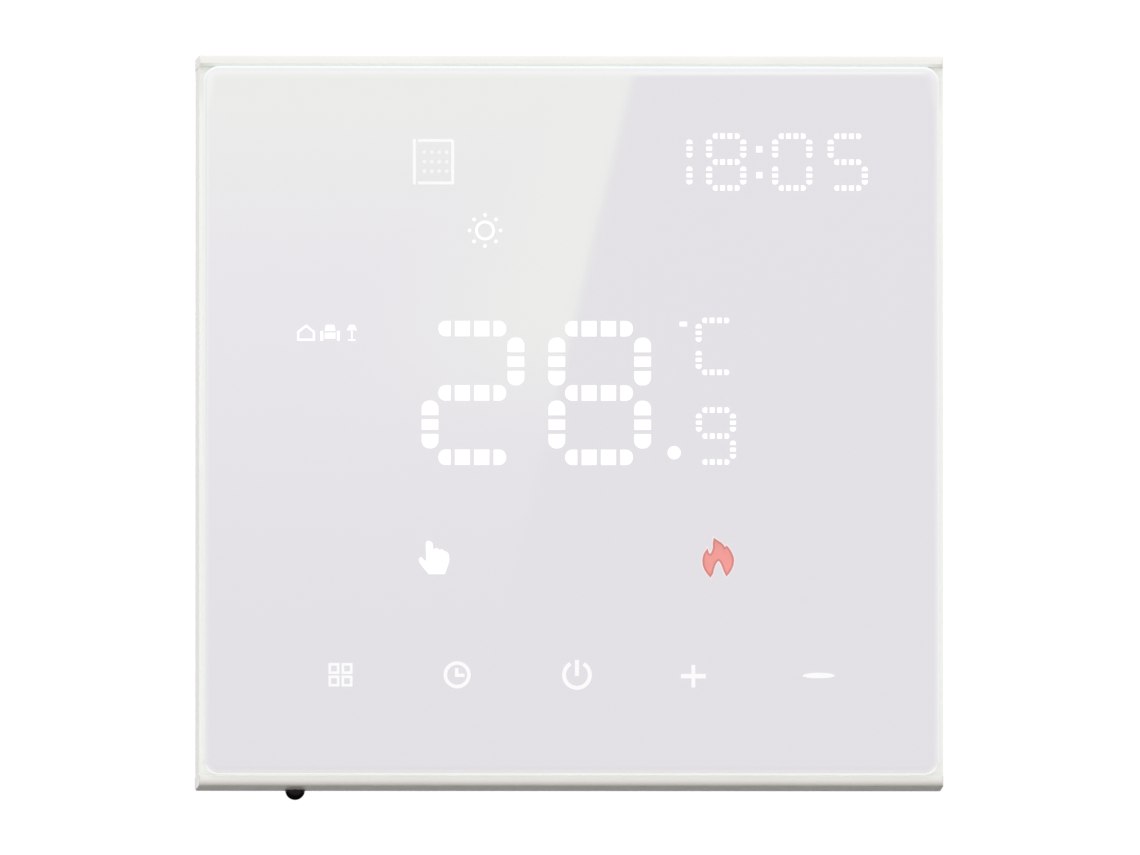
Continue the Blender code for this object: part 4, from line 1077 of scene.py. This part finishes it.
NODE_FINISHES = {
    "foam_tape": ["glass_adhesive"],
    "film": ["icon_film"],
    "reflector_plastic": ["display_reflector"],
    "circuit_board": ["display_board", "power_board"],
    "chip_epoxy": ["main_controller", "display_driver", "touch_controller"],
    "black_plastic": ["buzzer", "board_socket", "board_header", "relay_base"],
    "spring_steel": [f"touch_spring_{key}" for key in ("menu", "clock", "power", "plus", "minus")],
    "tinned_wire": ["sensor_lead_1", "sensor_lead_2"],
    "can_aluminium": ["clock_crystal"],
    "cell_steel": ["backup_cell"],
    "cover_plastic": ["inner_cover", "base_cover"],
    "housing_plastic": ["rear_housing"],
    "zinc_steel": ["mounting_plate", "relay_yoke", "relay_armature"],
    "zinc_screw": ["housing_screw_1", "housing_screw_2"],
    "brass": ["relay_contact"] + CLAMPS,
    "terminal_plastic": ["terminal_block"],
    "relay_plastic": ["relay_cover"],
    "copper": ["relay_coil"],
    "ferrite": ["transformer_core"],
    "winding_tape": ["transformer_winding"],
    "sleeve": ["filter_capacitor", "output_capacitor"],
    "varistor_lacquer": ["varistor"],
    "fuse_plastic": ["fuse"],
}


WELD_REACH = 0.000002
FLAT_ANGLE = math.radians(0.5)


def finish_nodes():
    """Gives every carried-over CAD node its finish, and rounds the edges of the larger ones."""
    for finish, names in NODE_FINISHES.items():
        for name in names:
            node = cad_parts[name]
            node.data.materials.clear()
            node.data.materials.append(FINISHES[finish].material)
            normals = node.data.attributes.get("custom_normal")
            if normals:
                node.data.attributes.remove(normals)
            node.data.shade_smooth()
            weld = node.modifiers.new("weld", "WELD")
            weld.merge_threshold = WELD_REACH
            flat = node.modifiers.new("flat_faces", "DECIMATE")
            flat.decimate_type, flat.angle_limit = "DISSOLVE", FLAT_ANGLE
            if name in EDGE_WIDTH:
                soften(node, EDGE_WIDTH[name])
            else:
                edges = node.modifiers.new("sharp_edges", "EDGE_SPLIT")
                edges.split_angle = math.radians(SHARP)


# ---- studio --------------------------------------------------------------------------------

CAMERA_DISTANCE = 3.0
CAMERA_SIDE = math.radians(-1.55)
CAMERA_RISE = math.radians(-2.1)
VIEW_WIDTH = 0.13134
SENSOR_WIDTH = 36.0
AIM = Vector((0.00021, 0.0, -0.00029))


def look_along(made, way):
    made.rotation_mode = "QUATERNION"
    made.rotation_quaternion = way.to_track_quat("-Z", "Y")


def camera():
    data = bpy.data.cameras.new("camera")
    data.sensor_width = SENSOR_WIDTH
    data.lens = SENSOR_WIDTH * CAMERA_DISTANCE / VIEW_WIDTH
    data.clip_start, data.clip_end = 0.1, 30.0
    made = placed("camera", data)
    flat, rise = math.cos(CAMERA_RISE), math.sin(CAMERA_RISE)
    back = Vector((math.sin(CAMERA_SIDE) * flat, -math.cos(CAMERA_SIDE) * flat, rise))
    made.location = AIM + back * CAMERA_DISTANCE
    look_along(made, -back)
    bpy.context.scene.camera = made


def stage_face(name, corners, finish):
    """A single flat face that isn't part of the object."""
    bm = bmesh.new()
    bm.faces.new([bm.verts.new(corner) for corner in corners])
    made = placed(name, mesh_of(name, bm))
    made.data.materials.append(finish.material)
    return made


def card(name, corners, seen_by, paint=None):
    """A flat card that only some rays meet: black, or glowing in the colour that paint gives."""
    finish = Finish(name, UNLIT, 1.0, Specular_IOR_Level=0.0)
    if paint:
        finish.set(Emission_Color=paint(finish), Emission_Strength=WINDOW_STRENGTH)
    made = stage_face(name, corners, finish)
    for kind in ("camera", "diffuse", "glossy", "transmission", "volume_scatter", "shadow"):
        setattr(made, f"visible_{kind}", kind in seen_by)


WINDOW_Y, WINDOW_LEFT, WINDOW_LOW, WINDOW_HIGH = -1.5, -0.9, -0.25, 0.70
WINDOW_STRENGTH = 3.4
WINDOW_PLAIN, WINDOW_FRESH = (0.010, 0.090), (0.078, 0.110)  # heights where each tone sets in
EDGE_FRESH, EDGE_FADE = (0.050, 0.075), 0.040
WINDOW_EDGE = (0.0316, 0.0343, 0.24)  # a point's x and z on the slanting edge, and its slope
SKY_SHARE, SKY_PLAIN, SKY_FRESH = (0.30, 0.30, 0.30), (0.58, 0.58, 0.58), (0.79, 0.93, 0.58)


def window_edge(z):
    x, level, slope = WINDOW_EDGE
    return x + slope * (z - level)


def window_light(finish):
    """Soft daylight: dim low down, and a fresher green-white high up and by the slanting edge."""
    x, _, z = finish.axes(finish.place())
    plain = finish.rise(z, *WINDOW_PLAIN)
    inside = window_edge(z) - x
    near = 1 - finish.rise(inside, 0.0, EDGE_FADE)
    by_edge = finish.rise(z, *EDGE_FRESH) * near
    fresh = by_edge.above(finish.rise(z, *WINDOW_FRESH) * 0.8)
    tone = finish.blend(plain, SKY_SHARE, SKY_PLAIN)
    return finish.blend(fresh, tone, SKY_FRESH)


def soft_light(name, at, size, power):
    data = bpy.data.lights.new(name, "AREA")
    data.shape, data.size, data.size_y = "RECTANGLE", *size
    data.energy = power
    made = placed(name, data)
    made.location = at
    look_along(made, -Vector(at))
    made.visible_camera = False
    made.visible_glossy = False


# The sky's tone below, the heights between which it turns white, and its strength
SKY_GROUND = (0.66, 0.57, 0.49)
SKY_DARK, SKY_LIGHT = -0.95, -0.25
SKY_STRENGTH = 1.02


def sky():
    world = bpy.data.worlds.new("studio")
    bpy.context.scene.world = world
    world.use_nodes = True
    nodes = Nodes(world.node_tree)
    _, _, height = nodes.axes(nodes.add("ShaderNodeTexCoord", output="Generated"))
    share = nodes.rise(height, SKY_DARK, SKY_LIGHT)
    shader = world.node_tree.nodes["Background"]
    nodes.feed(shader.inputs["Color"], nodes.blend(share, SKY_GROUND, (1.0, 1.0, 1.0)))
    shader.inputs["Strength"].default_value = SKY_STRENGTH


FLOOR_TONE = (0.88, 0.88, 0.88)
FLOOR_HALF, FLOOR_Z = 6.0, -0.3


def painted_floor():
    """A pale floor that is clear from below, so that the underside can be seen."""
    made = Finish("floor", FLOOR_TONE, 0.8)
    cloud = made.noise(made.place(), 3.0, 2.0)
    made.set(Base_Color=made.blend(cloud, FLOOR_TONE, [c * 0.985 for c in FLOOR_TONE]))
    paint = Value(made, made.shader.outputs["BSDF"])
    below = made.add("ShaderNodeNewGeometry", output="Backfacing")
    clear = made.add("ShaderNodeBsdfTransparent")
    either = made.add("ShaderNodeMixShader", sockets={0: below, 1: paint, 2: clear})
    made.feed(made.tree.nodes["Material Output"].inputs["Surface"], either)
    return made


TOP_AT, TOP_SIZE, TOP_POWER = (0.0, -1.0, 1.4), (1.4, 0.8), 3.1
SHADE_HALF, SHADE_Z, SHADE_FRONT, SHADE_BACK = 0.5, -0.10, -0.029, 0.3


def studio():
    sky()
    corners = rectangle(-FLOOR_HALF, -FLOOR_HALF, FLOOR_HALF, FLOOR_HALF)
    corners = [(x, y, FLOOR_Z) for x, y in corners]
    floor = stage_face("floor", corners, painted_floor())
    floor.visible_diffuse = False
    floor.visible_glossy = False
    soft_light("overhead_light", TOP_AT, TOP_SIZE, TOP_POWER)
    corners = [(WINDOW_LEFT, WINDOW_LOW), (window_edge(WINDOW_LOW), WINDOW_LOW)]
    corners += [(window_edge(WINDOW_HIGH), WINDOW_HIGH), (WINDOW_LEFT, WINDOW_HIGH)]
    card("window_card", [(x, WINDOW_Y, z) for x, z in corners], ("glossy",), window_light)
    corners = rectangle(-SHADE_HALF, SHADE_BACK, SHADE_HALF, SHADE_FRONT)
    card("shade_card", [(x, y, SHADE_Z) for x, y in corners], ("glossy", "diffuse"))
    scene = bpy.context.scene
    scene.view_settings.view_transform = "Standard"
    scene.view_settings.look = "None"


glass_panel()
front_frame()
sensor_bead()
clock_digits()
temperature()
day_mark()
sun_mark()
room_mark()
hand_mark()
flame_mark()
key_marks()
all_screws()
terminal_numbers()
wiring_label()
finish_nodes()
camera()
studio()
